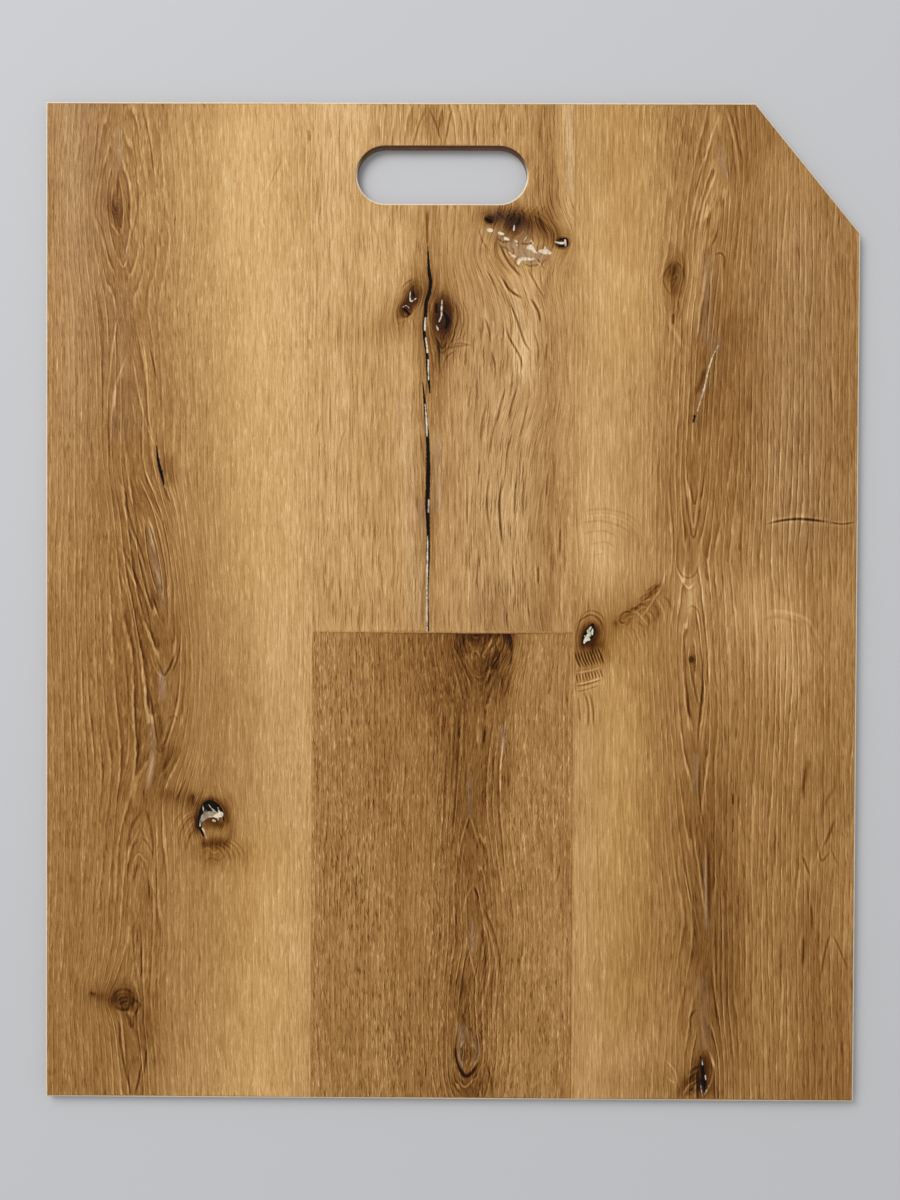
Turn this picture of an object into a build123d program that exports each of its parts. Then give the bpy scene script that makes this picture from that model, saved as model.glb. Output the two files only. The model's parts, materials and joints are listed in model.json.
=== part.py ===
"""Vinyl plank sample board.

Four cut lengths of oak-look vinyl floor plank lie edge to edge on one fibreboard carrier. The
bonded panel is sawn to a rectangle with one corner clipped, and a hand slot is routed through it.
It lies face up: X runs across the planks, Y along them towards the slot, and Z = 0 is the underside.
"""

import os

from build123d import *

# Driving dimensions, in millimetres
BOARD_WIDTH = 570.0
BOARD_LENGTH = 700.0
CARRIER_THICKNESS = 6.0
PLANK_THICKNESS = 2.5

# Clipped corner, at the right of the slot end
CLIP_ACROSS = 73.5
CLIP_ALONG = 90.0

# Hand slot with fully round ends
SLOT_LENGTH = 119.0
SLOT_WIDTH = 39.5
SLOT_BELOW_TOP = 50.7
SLOT_LEFT_OF_MIDDLE = 7.4

# How the planks divide the face: what is left over is the right plank and the lower plank
LEFT_PLANK_WIDTH = 187.8
CENTRE_PLANK_WIDTH = 183.3
UPPER_PLANK_LENGTH = 370.5

# Edges: the routed arris bares the pale core, the factory bevel is a hairline at each joint
ROUTED_ARRIS = 1.0
PLANK_BEVEL = 0.3
CARRIER_ARRIS = 0.5

# Places worked out from the driving dimensions
LEFT, RIGHT = -BOARD_WIDTH / 2, BOARD_WIDTH / 2
BOTTOM, TOP = -BOARD_LENGTH / 2, BOARD_LENGTH / 2
LEFT_JOINT = LEFT + LEFT_PLANK_WIDTH
RIGHT_JOINT = LEFT_JOINT + CENTRE_PLANK_WIDTH
END_JOINT = TOP - UPPER_PLANK_LENGTH
SLOT_CENTRE = (-SLOT_LEFT_OF_MIDDLE, TOP - SLOT_BELOW_TOP)

# Each plank's share of the face: left, right, bottom and top
PLANKS = {
    "left_plank": (LEFT, LEFT_JOINT, BOTTOM, TOP),
    "upper_centre_plank": (LEFT_JOINT, RIGHT_JOINT, END_JOINT, TOP),
    "lower_centre_plank": (LEFT_JOINT, RIGHT_JOINT, BOTTOM, END_JOINT),
    "right_plank": (RIGHT_JOINT, RIGHT, BOTTOM, TOP),
}
SAME_PLACE = 0.01


def is_joint_edge(edge):
    """True for an edge of a plank's face that butts against the next plank."""
    middle = edge.center()
    on_side_joint = min(abs(middle.X - LEFT_JOINT), abs(middle.X - RIGHT_JOINT)) < SAME_PLACE
    return on_side_joint or abs(middle.Y - END_JOINT) < SAME_PLACE


def save(part, name):
    part.label = name
    export_step(part, f"parts/{name}.step")


os.makedirs("parts", exist_ok=True)

# The panel's outline, shared by the carrier and every plank
with BuildSketch() as outline:
    with BuildLine():
        Polyline(
            (LEFT, BOTTOM),
            (RIGHT, BOTTOM),
            (RIGHT, TOP - CLIP_ALONG),
            (RIGHT - CLIP_ACROSS, TOP),
            (LEFT, TOP),
            close=True,
        )
    make_face()
    with Locations(SLOT_CENTRE):
        SlotOverall(SLOT_LENGTH, SLOT_WIDTH, mode=Mode.SUBTRACT)

# Fibreboard carrier, with the arris broken all round its back
with BuildPart() as carrier_board:
    with BuildSketch():
        add(outline.sketch)
    extrude(amount=CARRIER_THICKNESS)
    back = carrier_board.faces().sort_by(Axis.Z)[0]
    chamfer(back.edges(), length=CARRIER_ARRIS)
save(carrier_board.part, "carrier_board")

# Planks, each cut from the outline and bevelled along its face
for name, (left, right, bottom, top) in PLANKS.items():
    with BuildPart() as plank:
        with BuildSketch(Plane.XY.offset(CARRIER_THICKNESS)):
            add(outline.sketch)
            with Locations(((left + right) / 2, (bottom + top) / 2)):
                Rectangle(right - left, top - bottom, mode=Mode.INTERSECT)
        extrude(amount=PLANK_THICKNESS)
        face = plank.faces().sort_by(Axis.Z)[-1]
        chamfer(face.edges().filter_by(is_joint_edge, reverse=True), length=ROUTED_ARRIS)
        face = plank.faces().sort_by(Axis.Z)[-1]
        chamfer(face.edges().filter_by(is_joint_edge), length=PLANK_BEVEL)
    save(plank.part, name)
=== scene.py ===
"""Vinyl plank sample board: its printed oak faces, pale cut edges, carrier and a plain studio.

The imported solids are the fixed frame. Each plank is a copy of its solid whose flat face is filled again
with a fine mesh. That mesh carries the run of the grain, the tone and the marks of the oak print, a
geometry node tree embosses it, and the print's material draws rings, pores and knots from it.
"""

import json
import math
from typing import NamedTuple

import bmesh
import bpy
import numpy as np
from bpy.props import FloatProperty, FloatVectorProperty, IntProperty, PointerProperty
from mathutils import Euler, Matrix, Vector
from mathutils.geometry import delaunay_2d_cdt


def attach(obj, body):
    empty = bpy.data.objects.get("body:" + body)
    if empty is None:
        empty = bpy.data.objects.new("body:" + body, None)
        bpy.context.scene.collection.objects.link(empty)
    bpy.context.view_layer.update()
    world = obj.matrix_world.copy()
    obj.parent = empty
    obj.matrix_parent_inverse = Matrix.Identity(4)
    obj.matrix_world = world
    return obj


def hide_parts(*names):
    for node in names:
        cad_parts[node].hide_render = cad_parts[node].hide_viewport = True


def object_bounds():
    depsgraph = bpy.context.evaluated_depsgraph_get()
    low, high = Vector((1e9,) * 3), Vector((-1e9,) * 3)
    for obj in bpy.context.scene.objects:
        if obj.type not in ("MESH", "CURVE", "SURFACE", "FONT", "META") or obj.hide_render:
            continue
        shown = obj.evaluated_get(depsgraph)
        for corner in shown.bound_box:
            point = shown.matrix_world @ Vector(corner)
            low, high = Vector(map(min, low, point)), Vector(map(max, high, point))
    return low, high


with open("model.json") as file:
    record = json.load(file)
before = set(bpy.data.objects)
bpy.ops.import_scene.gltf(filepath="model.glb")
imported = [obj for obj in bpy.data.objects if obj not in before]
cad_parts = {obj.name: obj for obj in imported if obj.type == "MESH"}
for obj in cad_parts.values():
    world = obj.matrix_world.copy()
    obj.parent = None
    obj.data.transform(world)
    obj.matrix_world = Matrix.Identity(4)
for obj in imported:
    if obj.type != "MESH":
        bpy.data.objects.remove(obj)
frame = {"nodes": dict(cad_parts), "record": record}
CAD_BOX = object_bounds()

bl_info = {
    "name": "Vinyl plank sample board",
    "version": (1, 0, 0),
    "blender": (4, 5, 0),
    "location": "View3D > Sidebar > Sample board",
    "description": "Dresses a board of four oak print vinyl planks on a fibreboard carrier",
    "category": "Object",
}

# The print is worked out in millimetres on the board's face, and the scene is in metres
MM = 0.001
FACE_HEIGHT = CAD_BOX[1].z
BODY = "root"

# The photograph's frame and the camera that took it, with the lens for a 36 mm long side
PHOTO_WIDTH, PHOTO_HEIGHT = 900, 1200
LONG_SIDE = 36.0
LENS = 40.65
CAMERA_PLACE = (0.0052, 0.0150, 0.9598)
CAMERA_TURN = tuple(math.radians(angle) for angle in (-0.762, 0.353, 0.244))
FOCUS = LENS / LONG_SIDE * PHOTO_HEIGHT

# The width of a pixel on the face, in millimetres
PIXEL = (CAMERA_PLACE[2] - FACE_HEIGHT) / FOCUS / MM

# How much more strongly a drawn line is printed than its amount says
LINE_STRENGTH = 1.45


class Knot(NamedTuple):
    """A knot in the print: its middle, half width and half length, lean, darkness, halo and push."""

    at: tuple
    half: tuple
    lean: float
    dark: float
    halo: float
    push: float


class Stroke(NamedTuple):
    """A smooth path with a half width and an amount, each one number or one for each stage along it."""

    path: tuple
    width: object
    amount: object


class Decor(NamedTuple):
    """The print of one plank, drawn in pixels of the photograph.

    A heart row is a place of the pith and its depth under the face. Bends push the grain aside, and lined
    and pitted places have stronger rings and pores. Shades and lines change the tone, and what is washed
    is greyer. Cracks are open and fillers are pale.
    """

    heart: tuple
    knots: tuple
    bends: tuple
    lined: tuple
    pitted: tuple
    shades: tuple
    lines: tuple
    washed: tuple
    cracks: tuple
    fillers: tuple


def row_of(first, last, count):
    """A row of like strokes, which go evenly from the first to the last."""
    for share in np.linspace(0, 1, count):
        path = np.asarray(first.path) * (1 - share) + np.asarray(last.path) * share
        yield Stroke(path, first.width, first.amount)


def on_face(pixels):
    """Where pixels of the photograph fall on the board's face, in millimetres."""
    pixels = np.asarray(pixels, float)
    aims = np.stack([
        pixels[..., 0] - PHOTO_WIDTH / 2,
        PHOTO_HEIGHT / 2 - pixels[..., 1],
        np.full(pixels.shape[:-1], -FOCUS),
    ], -1)
    aims = aims @ np.array(Euler(CAMERA_TURN).to_matrix()).T
    reach = (FACE_HEIGHT - CAMERA_PLACE[2]) / aims[..., 2:]
    return (np.array(CAMERA_PLACE[:2]) + aims[..., :2] * reach) / MM


def laid(stroke, gain=1.0):
    """A stroke drawn in pixels, laid on the board's face."""
    width, amount = np.multiply(stroke.width, PIXEL), np.multiply(stroke.amount, gain)
    return Stroke(on_face(stroke.path), width, amount)


def on_board(decor):
    """A plank's marks, moved from the photograph's pixels to millimetres on the board's face."""
    heart = [(*on_face(row[:2]), row[2] * PIXEL) for row in decor.heart]
    knots = [knot._replace(at=on_face(knot.at), half=np.multiply(knot.half, PIXEL)) for knot in decor.knots]
    gains = {"bends": PIXEL, "lines": LINE_STRENGTH}
    strokes = {kind: [laid(stroke, gains.get(kind, 1.0)) for stroke in getattr(decor, kind)]
               for kind in Decor._fields if kind not in ("heart", "knots")}
    return Decor(heart=heart, knots=knots, **strokes)


class Finish(NamedTuple):
    """How one plank's print is drawn: its slot, marks and base tone, then its grain, and its seed.

    Rings, streaks, pores and flecks are strengths. Spacing, lengths, wander and wave are in millimetres.
    """

    slot: str
    # The points of a smooth line through a stroke's given points.
    decor: Decor
    tone: float
    spacing: float
    rings: float
    streaks: float
    pores: float
    pore_length: float
    flecks: float
    fleck_length: float
    fibre_length: float
    wander: float
    wave: float
    seed: int


# The marks of each plank's print, given in the photograph's pixels
LEFT_PLANK = Decor(
    heart=(
        (117, 104, 22), (116, 150, 14), (116, 208, 3), (120, 255, 11), (124, 300, 21), (129, 345, 19),
        (132, 400, 16), (134, 470, 13), (146, 520, 6), (153, 560, 3), (161, 605, 9), (166, 650, 16),
        (165, 700, 20), (159, 750, 25), (147, 792, 28), (143, 830, 25), (140, 880, 21), (136, 940, 17),
        (126, 1000, 10), (131, 1050, 8), (135, 1098, 8),
    ),
    knots=(
        Knot((115.5, 209), (3, 3.8), 0, 0.3, -0.07, 0.5),
        Knot((210, 814), (13, 13), 0, 0.6, -0.1, 0.9),
        Knot((122.5, 999.5), (10, 10), 0, 0, -0.06, 0.8),
    ),
    bends=(),
    lined=(
        Stroke((
            (118, 104), (118, 300), (150, 560), (155, 760), (138, 960), (134, 1098)
        ), (24, 24, 34, 34, 24, 20), (0.55, 0.6, 1, 1.1, 0.9, 0.8)),
        Stroke(((90, 590), (95, 780)), 26, 0.6),
        Stroke(((240, 104), (250, 1098)), 60, -0.3),
    ),
    pitted=(
        Stroke(((240, 104), (250, 1098)), 60, -0.3),
    ),
    shades=(
        # The honey band is the print's own, and its fade towards the foot is painted shade, where less light
        # falls on the board's lower end
        Stroke((
            (262, 104), (268, 300), (282, 500), (292, 700), (290, 850), (285, 1098)
        ), (100, 92, 78, 56, 80, 105), (0.21, 0.2, 0.18, 0.16, 0.13, 0.13)),
        Stroke(((64, 104), (62, 560)), 24, (0.06, 0.03)),
        Stroke(((117, 170), (122, 300), (128, 420)), 16, (-0.05, -0.04)),
        Stroke((
            (120, 420), (150, 600), (150, 720), (160, 790)
        ), (30, 28, 34, 30), (-0.03, -0.07, -0.1, -0.06)),
        Stroke(((140, 800), (138, 960)), 14, -0.03),
        Stroke(((92, 994), (135, 1005), (140, 1098)), (12, 26, 14), (-0.06, -0.1, -0.04)),
        Stroke(((206, 843), (224, 843)), 5.5, -0.25),
        Stroke(((196, 818), (197, 832)), 4, -0.16),
        Stroke(((216, 823), (221, 825)), 4, -0.2),
        Stroke(((228, 800), (231, 836)), 5, -0.1),
        Stroke(((197, 827), (198, 812), (206, 801), (217, 801), (225, 810), (227, 821)), 3.4, -0.15),
        Stroke(((124, 1001), (126, 1002)), 3, 0.08),
        Stroke(((210, 856), (240, 856)), (12, 12), (-0.1, -0.08)),
        Stroke(((168, 462), (170, 480)), 7, -0.1),
        Stroke(((159, 718), (160.5, 736), (161, 748)), (2.5, 4, 2), -0.12),
        Stroke(((162, 676), (162.5, 697)), (3.2, 3.8), 0.06),
        Stroke(((149, 524), (153, 541)), 2.4, 0.06),
        Stroke(((157, 562), (160.5, 583)), 2.6, 0.06),
        Stroke(((152, 752), (151, 768), (148, 787)), (2.4, 3.4, 2.4), 0.06),
        Stroke(((116, 214), (119, 226), (121, 237)), (3, 4, 1.5), -0.08),
        Stroke(((108, 200), (122, 214)), 9, -0.05),
        Stroke(((170, 752), (160, 790), (192, 800)), (7, 7, 9), (-0.14, -0.08, -0.12)),
        Stroke(((80, 640), (100, 800), (110, 940), (108, 1095)), (34, 40, 40, 36), -0.03),
        Stroke(((250, 900), (270, 1095)), 40, 0.035),
        Stroke(((215, 690), (216, 770)), 12, -0.03),
        Stroke(((282, 710), (285, 840)), 22, -0.025),
        Stroke(((110, 104), (260, 112)), 22, -0.025),
        Stroke(((134, 320), (142, 390)), 16, -0.04),
        Stroke(((192, 796), (194, 804)), 2.4, -0.11),
        Stroke(((92, 994), (102, 997), (108, 998)), (3.2, 4.6, 4), (-0.13, -0.1, -0.07)),
        Stroke(((119, 1000), (126, 1000)), 10, -0.2),
    ),
    lines=(
        Stroke(((141, 104), (146, 125), (151, 148), (154, 176)), 0.9, -0.1),
        Stroke(((99, 104), (97, 140), (93, 172), (90, 196)), 0.8, -0.07),
        Stroke(((128, 150), (133, 185), (135, 206), (133, 226), (127, 246)), 0.8, 0.05),
        Stroke(((106, 130), (101, 166), (94, 200), (93, 216), (101, 238), (109, 258)), 0.8, 0.05),
        Stroke(((117, 255), (123, 267), (128.5, 257)), 0.9, 0.1),
        Stroke(((103, 330), (102, 400), (103, 470)), 0.8, -0.08),
        Stroke(((110, 382), (108.5, 420), (110, 470)), 0.8, -0.09),
        Stroke(((133, 362), (136, 382), (141, 404), (147, 426), (153, 442), (157, 456)), 0.8, 0.09),
        Stroke(((137, 470), (145, 486), (153, 502), (160, 520)), 0.8, -0.09),
        Stroke(((143, 468), (152, 486), (160, 502)), 0.8, 0.08),
        Stroke(((181, 640), (177, 660), (170, 676)), 1, -0.12),
        Stroke((
            (116.5, 111), (106, 132), (103, 158), (97, 196), (96, 215), (102, 230), (110, 261), (117, 287)
        ), 0.9, -0.06),
        Stroke((
            (116.5, 111), (128, 122), (134.5, 151), (138, 189), (137, 215), (131, 236), (123, 268)
        ), 0.9, -0.06),
        Stroke(((121.5, 155), (127, 171), (130.5, 189), (133, 208)), 0.8, 0.06),
        Stroke(((118, 172), (117.5, 188), (116.5, 200)), (1, 1.3), -0.1),
        Stroke(((109, 203), (107.5, 208), (110, 213)), 1.2, -0.06),
        Stroke(((112.5, 206), (113, 211)), 1.1, 0.06),
        Stroke(((104, 196), (102, 208), (106, 220)), 0.9, 0.05),
        Stroke(((122, 190), (125, 206), (123, 222)), 0.9, 0.05),
        Stroke(((110, 222), (117, 232), (121.5, 238)), 0.9, 0.1),
        Stroke(((119, 311), (115, 332), (111, 361), (108, 400)), 0.9, 0.12),
        Stroke(((138, 319), (146, 361), (149, 418), (156, 447)), 0.8, 0.1),
        Stroke(((128, 354), (123, 365), (115, 392), (116, 430)), (0.8, 1.4), 0.1),
        Stroke(((131, 352), (134, 366), (139, 392), (142, 420)), 0.8, 0.1),
        Stroke(((132.5, 401), (136, 425)), 0.9, 0.1),
        Stroke(((149.5, 346), (153.5, 364), (156, 380)), 0.9, -0.16),
        Stroke(((164, 486), (168, 498), (171, 504)), 0.8, -0.2),
        Stroke((
            (122.5, 480), (124, 503), (129, 525), (137, 547), (145, 572), (151, 598), (160, 622),
            (168, 636)
        ), 0.9, 0.11),
        Stroke(((126, 484), (127, 503), (132, 525), (140, 547), (148, 574)), 0.8, -0.11),
        Stroke((
            (139.5, 479), (148.5, 498), (160, 521), (166, 547), (169, 572), (170, 598), (170, 623),
            (168, 636)
        ), 0.9, 0.1),
        Stroke(((144, 480), (153, 498), (164, 521), (169, 547)), 0.7, -0.09),
        Stroke(((116, 540), (129, 570), (141, 598), (150, 634), (158, 655)), 1, 0.1),
        Stroke(((119, 539), (132, 568), (144, 597), (152, 630)), 0.8, -0.1),
        Stroke(((114, 552), (128, 598), (136, 649), (139, 680), (141, 720)), 0.9, 0.09),
        Stroke(((153, 648), (159, 664), (164, 675), (170, 666), (178, 646)), 1.1, -0.1),
        Stroke(((149, 650), (155, 668), (163, 680)), 0.8, 0.1),
        Stroke(((146, 686), (151, 714), (155, 738), (157.5, 751)), 1, 0.07),
        Stroke(((164, 751), (170, 734), (177, 712), (181, 690)), 0.9, 0.09),
        Stroke(((156, 745), (160, 752), (165, 746)), 1.4, -0.07),
        Stroke(((168, 719), (174, 716), (178, 721)), 1.1, -0.06),
        Stroke(((165, 674), (171, 666), (174.5, 654)), 1.5, -0.07),
        Stroke(((149, 686), (153.5, 714), (157, 740), (159, 750)), 0.8, -0.12),
        Stroke(((173, 717), (169.5, 728), (166, 740), (160.5, 750)), 1.4, -0.13),
        Stroke(((139.5, 700), (140, 730), (138, 756), (133, 778)), 1.2, -0.05),
        Stroke(((127, 700), (129, 730), (127, 760), (120, 790)), 0.8, 0.08),
        Stroke(((144, 788), (144, 806)), 0.9, -0.07),
        Stroke(((144, 806), (138, 816), (131.5, 827), (128, 843), (125.7, 866)), (1.5, 1.6, 1, 0.8), -0.1),
        Stroke(((144, 806), (148.6, 818), (151.4, 833), (153, 849), (152, 868)), (1.5, 1.5, 1, 0.8), -0.1),
        Stroke(((141.5, 824), (136, 835), (130.5, 846), (128, 858)), 0.9, 0.07),
        Stroke(((142, 826), (146, 836), (150, 850)), 0.9, 0.06),
        Stroke(((141.5, 837), (136, 842), (132, 849), (129, 861), (127, 880)), (1.3, 1.1, 0.8), -0.09),
        Stroke(((141.5, 837), (148, 844), (152, 854)), (1.3, 1, 0.8), -0.09),
        Stroke(((132, 864), (138.6, 854), (144.3, 860), (148, 863)), 0.9, 0.08),
        Stroke(((137.5, 862), (135, 872), (133, 883)), (1.6, 1.6, 0.8), -0.13),
        Stroke(((142, 858), (146, 869), (148.6, 883), (150, 903)), (1.3, 1.1, 0.9), -0.09),
        Stroke(((130, 880), (126.5, 905), (127, 923)), 0.9, -0.07),
        Stroke(((134.5, 884), (134, 900), (132.5, 915)), 1.2, 0.05),
        Stroke(((142, 898), (143.5, 914)), 1, 0.05),
        Stroke(((135, 919), (132.8, 932), (134, 951), (133.5, 962)), 0.9, -0.12),
        Stroke(((135, 919), (139.5, 926), (141, 938), (141.5, 959), (142, 982)), 0.9, -0.12),
        Stroke(((137, 925), (137.5, 946)), 2, -0.05),
        Stroke(((134.3, 957), (132.5, 970), (130.5, 984)), 0.8, 0.07),
        Stroke(((135, 957), (138, 971), (140.7, 985)), 0.8, 0.07),
        Stroke(((128.5, 930), (126.5, 958), (126, 984)), 0.8, 0.06),
        Stroke(((146.5, 922), (147.5, 950), (148, 985)), 0.8, 0.06),
        Stroke(((156, 842), (157, 900), (156, 960), (158, 1010)), 0.8, -0.055),
        Stroke(((153.6, 838), (154.6, 900), (153.6, 960)), 0.8, 0.045),
        Stroke(((160.5, 872), (161, 930), (160, 1000), (160, 1060)), 0.8, -0.055),
        Stroke(((163.2, 868), (163.6, 930), (162.6, 1000)), 0.7, 0.04),
        Stroke(((113, 846), (112.5, 880), (112.5, 912)), 0.8, -0.06),
        Stroke(((115.8, 842), (115, 880), (114.6, 906)), 0.7, 0.04),
        Stroke(((121.5, 834), (119, 880), (117.6, 930)), 0.8, -0.05),
        Stroke(((105.5, 880), (103.5, 930), (99, 975)), 0.8, -0.045),
        Stroke(((166.5, 820), (167.5, 860)), 0.8, -0.05),
        Stroke(((142, 1061), (139, 1078), (135, 1095)), 1, -0.18),
        # The round knot near the foot, and the lines that leave it
        Stroke(((90, 992.5), (95, 995)), 1.6, -0.07),
        Stroke(((113, 1000), (115, 993), (121, 989.5), (129, 990.5), (133, 996)), 1.3, -0.08),
        Stroke(((133, 996), (133.5, 1001), (131, 1006)), 1.3, -0.08),
        Stroke(((114, 1005), (119, 1009), (126, 1009.5), (131, 1007)), 1.6, -0.1),
        Stroke(((117, 1000), (121, 996), (128, 995)), 0.8, 0.07),
        Stroke(((117, 1004), (122, 1000), (129, 999.5)), 0.8, 0.07),
        Stroke(((121, 1006), (125, 1003.5), (129, 1003)), 0.8, 0.07),
        Stroke(((136, 988), (137, 996), (136.5, 1001)), 1.4, 0.06),
        Stroke(((136, 1002), (135.5, 1008)), 1.9, 0.08),
        Stroke(((130, 1011), (133, 1016)), 2, 0.08),
        Stroke(((134, 999), (139, 1003), (138, 1009), (135, 1014), (133, 1022)), 1, -0.1),
        Stroke(((125, 1011), (129, 1019), (131.5, 1027), (134, 1020)), 1.4, -0.1),
        Stroke(((119, 1018), (120, 1040), (122.5, 1055), (126, 1072), (131, 1095)), 1.2, -0.16),
        Stroke(((146, 1046), (145, 1065), (142, 1080)), 1.2, -0.11),
        Stroke(((192.5, 794), (193.5, 799)), 1.2, -0.06),
        # Grain that curls round the open knot
        Stroke(((178, 850), (181, 832), (188, 820), (197, 815)), 0.9, -0.09),
        Stroke(((182, 852), (185, 835), (191, 824), (198, 820)), 0.8, 0.08),
        Stroke(((186, 852), (189, 838), (195, 828)), 0.9, -0.09),
        Stroke(((176, 842), (178, 826), (186, 815), (196, 810)), 0.8, 0.07),
        Stroke(((172, 840), (175, 822), (183, 811)), 0.8, -0.07),
        Stroke(((200, 852), (208, 848), (214, 853), (222, 848)), 0.9, 0.06),
        Stroke(((203, 866), (210, 858), (220, 860), (230, 850)), 0.8, -0.05),
        Stroke(((228, 838), (224, 846), (226, 856)), 0.8, -0.06),
        Stroke(((185.5, 778), (180, 792), (175.5, 802)), 1, -0.12),
        Stroke(((182, 782), (177, 796)), 0.8, 0.1),
        Stroke(((283, 158), (275, 174), (268, 190)), 0.9, -0.06),
        Stroke(((297, 190), (300, 214)), 0.9, -0.07),
        Stroke(((292, 112), (297, 140)), 0.9, -0.05),
        Stroke(((308, 128), (310, 142)), 1.6, -0.12),
        Stroke(((270, 178), (263, 196)), 0.8, 0.05),
        Stroke(((309, 338), (311, 350)), 1.6, -0.1),
        Stroke(((155, 240), (156, 264)), 1.2, -0.09),
        *row_of(Stroke(((214, 846), (222, 852), (226, 862)), 0.9, -0.06),
                Stroke(((230, 838), (240, 846), (246, 858)), 0.9, -0.06), 5),
        Stroke(((149, 525), (152, 540), (156, 556)), 1.4, 0.09),
        Stroke(((157, 568), (161, 590), (163, 604)), 1.4, 0.07),
        Stroke(((152, 750), (151, 765), (148, 788)), 2.2, 0.06),
        Stroke(((166, 758), (165, 772), (169, 784)), 2, -0.06),
        Stroke(((128, 470), (127, 486), (130, 500)), 0.8, -0.06),
        Stroke(((134, 505), (138, 520), (143, 540)), 0.8, 0.07),
        Stroke(((131, 560), (138, 590), (144, 622)), 0.8, -0.06),
        Stroke(((180, 610), (181, 650), (179, 690)), 0.8, 0.05),
        Stroke(((176, 600), (177.5, 640), (176, 676)), 0.8, -0.05),
        Stroke(((83, 600), (81, 680), (83, 760)), 0.8, 0.04),
        Stroke(((97, 640), (96, 700), (98, 770)), 0.8, 0.04),
        Stroke(((124, 640), (128, 690), (127, 740)), 0.8, -0.06),
    ),
    washed=(
        Stroke(((75, 104), (78, 300), (78, 560)), 30, (0.15, 0.11, 0)),
        Stroke(((120, 300), (130, 420)), 16, 0.06),
        Stroke(((255, 104), (260, 560)), 40, -0.045),
        Stroke(((255, 860), (262, 1098)), 40, -0.06),
        Stroke(((119, 130), (119, 168)), 4, 0.15),
        Stroke(((149, 525), (152, 545), (158, 575), (163, 605)), (2, 3, 4, 2), (0.25, 0.3, 0.3, 0.15)),
        Stroke(((162, 674), (162.5, 684), (162.5, 700)), (3.5, 4, 2), 0.35),
        Stroke(((145, 690), (149, 715), (153, 745), (151, 765), (148, 788)), (1, 1.4, 2.6, 3.6, 2), 0.25),
        Stroke(((114, 392), (114.5, 440)), 1.6, 0.15),
        Stroke(((124, 240), (124, 264)), 4, 0.1),
    ),
    cracks=(
        Stroke(((156.5, 446), (158.5, 462), (162, 476), (164, 485)), (0.5, 1.2, 1.7, 0.6), 1),
        Stroke(((204, 805), (201, 814), (200, 826), (203.5, 836)), (2.2, 2.5, 1.9, 0.9), 1),
        Stroke(((204, 805), (209, 802.5), (216, 805), (222, 812), (224, 821)), (2.2, 2.5, 2, 1.4, 0.5), 1),
        Stroke(((203, 811), (211, 808), (219, 811)), (3, 2.8, 1.6), 1),
    ),
    fillers=(
        Stroke(((199.8, 826), (201, 820.5), (206, 817.5), (213, 816)), (0.6, 0.8, 0.9, 1.1), 0.85),
        Stroke(((200.5, 822), (206, 815.5), (214, 813.5)), (1.4, 3.4, 2.4), 0.4),
        Stroke(((200, 821), (203, 814), (206.5, 810.5)), 0.4, 0.8),
        Stroke(((201, 821), (206, 814.5), (211, 811.5)), 0.4, 0.8),
        Stroke(((216, 815.5), (220.5, 814.6)), (2.3, 2.7), 1),
        Stroke(((202.4, 804), (203.8, 813)), (0.4, 0.6), 0.8),
        Stroke(((208.6, 804.5), (212, 809), (217, 813.5)), (0.3, 0.5, 1), 0.85),
        Stroke(((217.8, 807.5), (219.5, 813)), (0.4, 1), 0.95),
        Stroke(((220, 813.5), (223.2, 816.5)), (1.3, 0.3), 1),
        Stroke(((217.5, 816), (218.5, 820)), (1.2, 0.3), 1),
        Stroke(((213.4, 820.4), (214.6, 821)), 1.1, 1),
        Stroke(((202.4, 828.6), (204.4, 832), (206.8, 839)), (0.8, 0.5, 0.25), 0.9),
    ),
)

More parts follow.
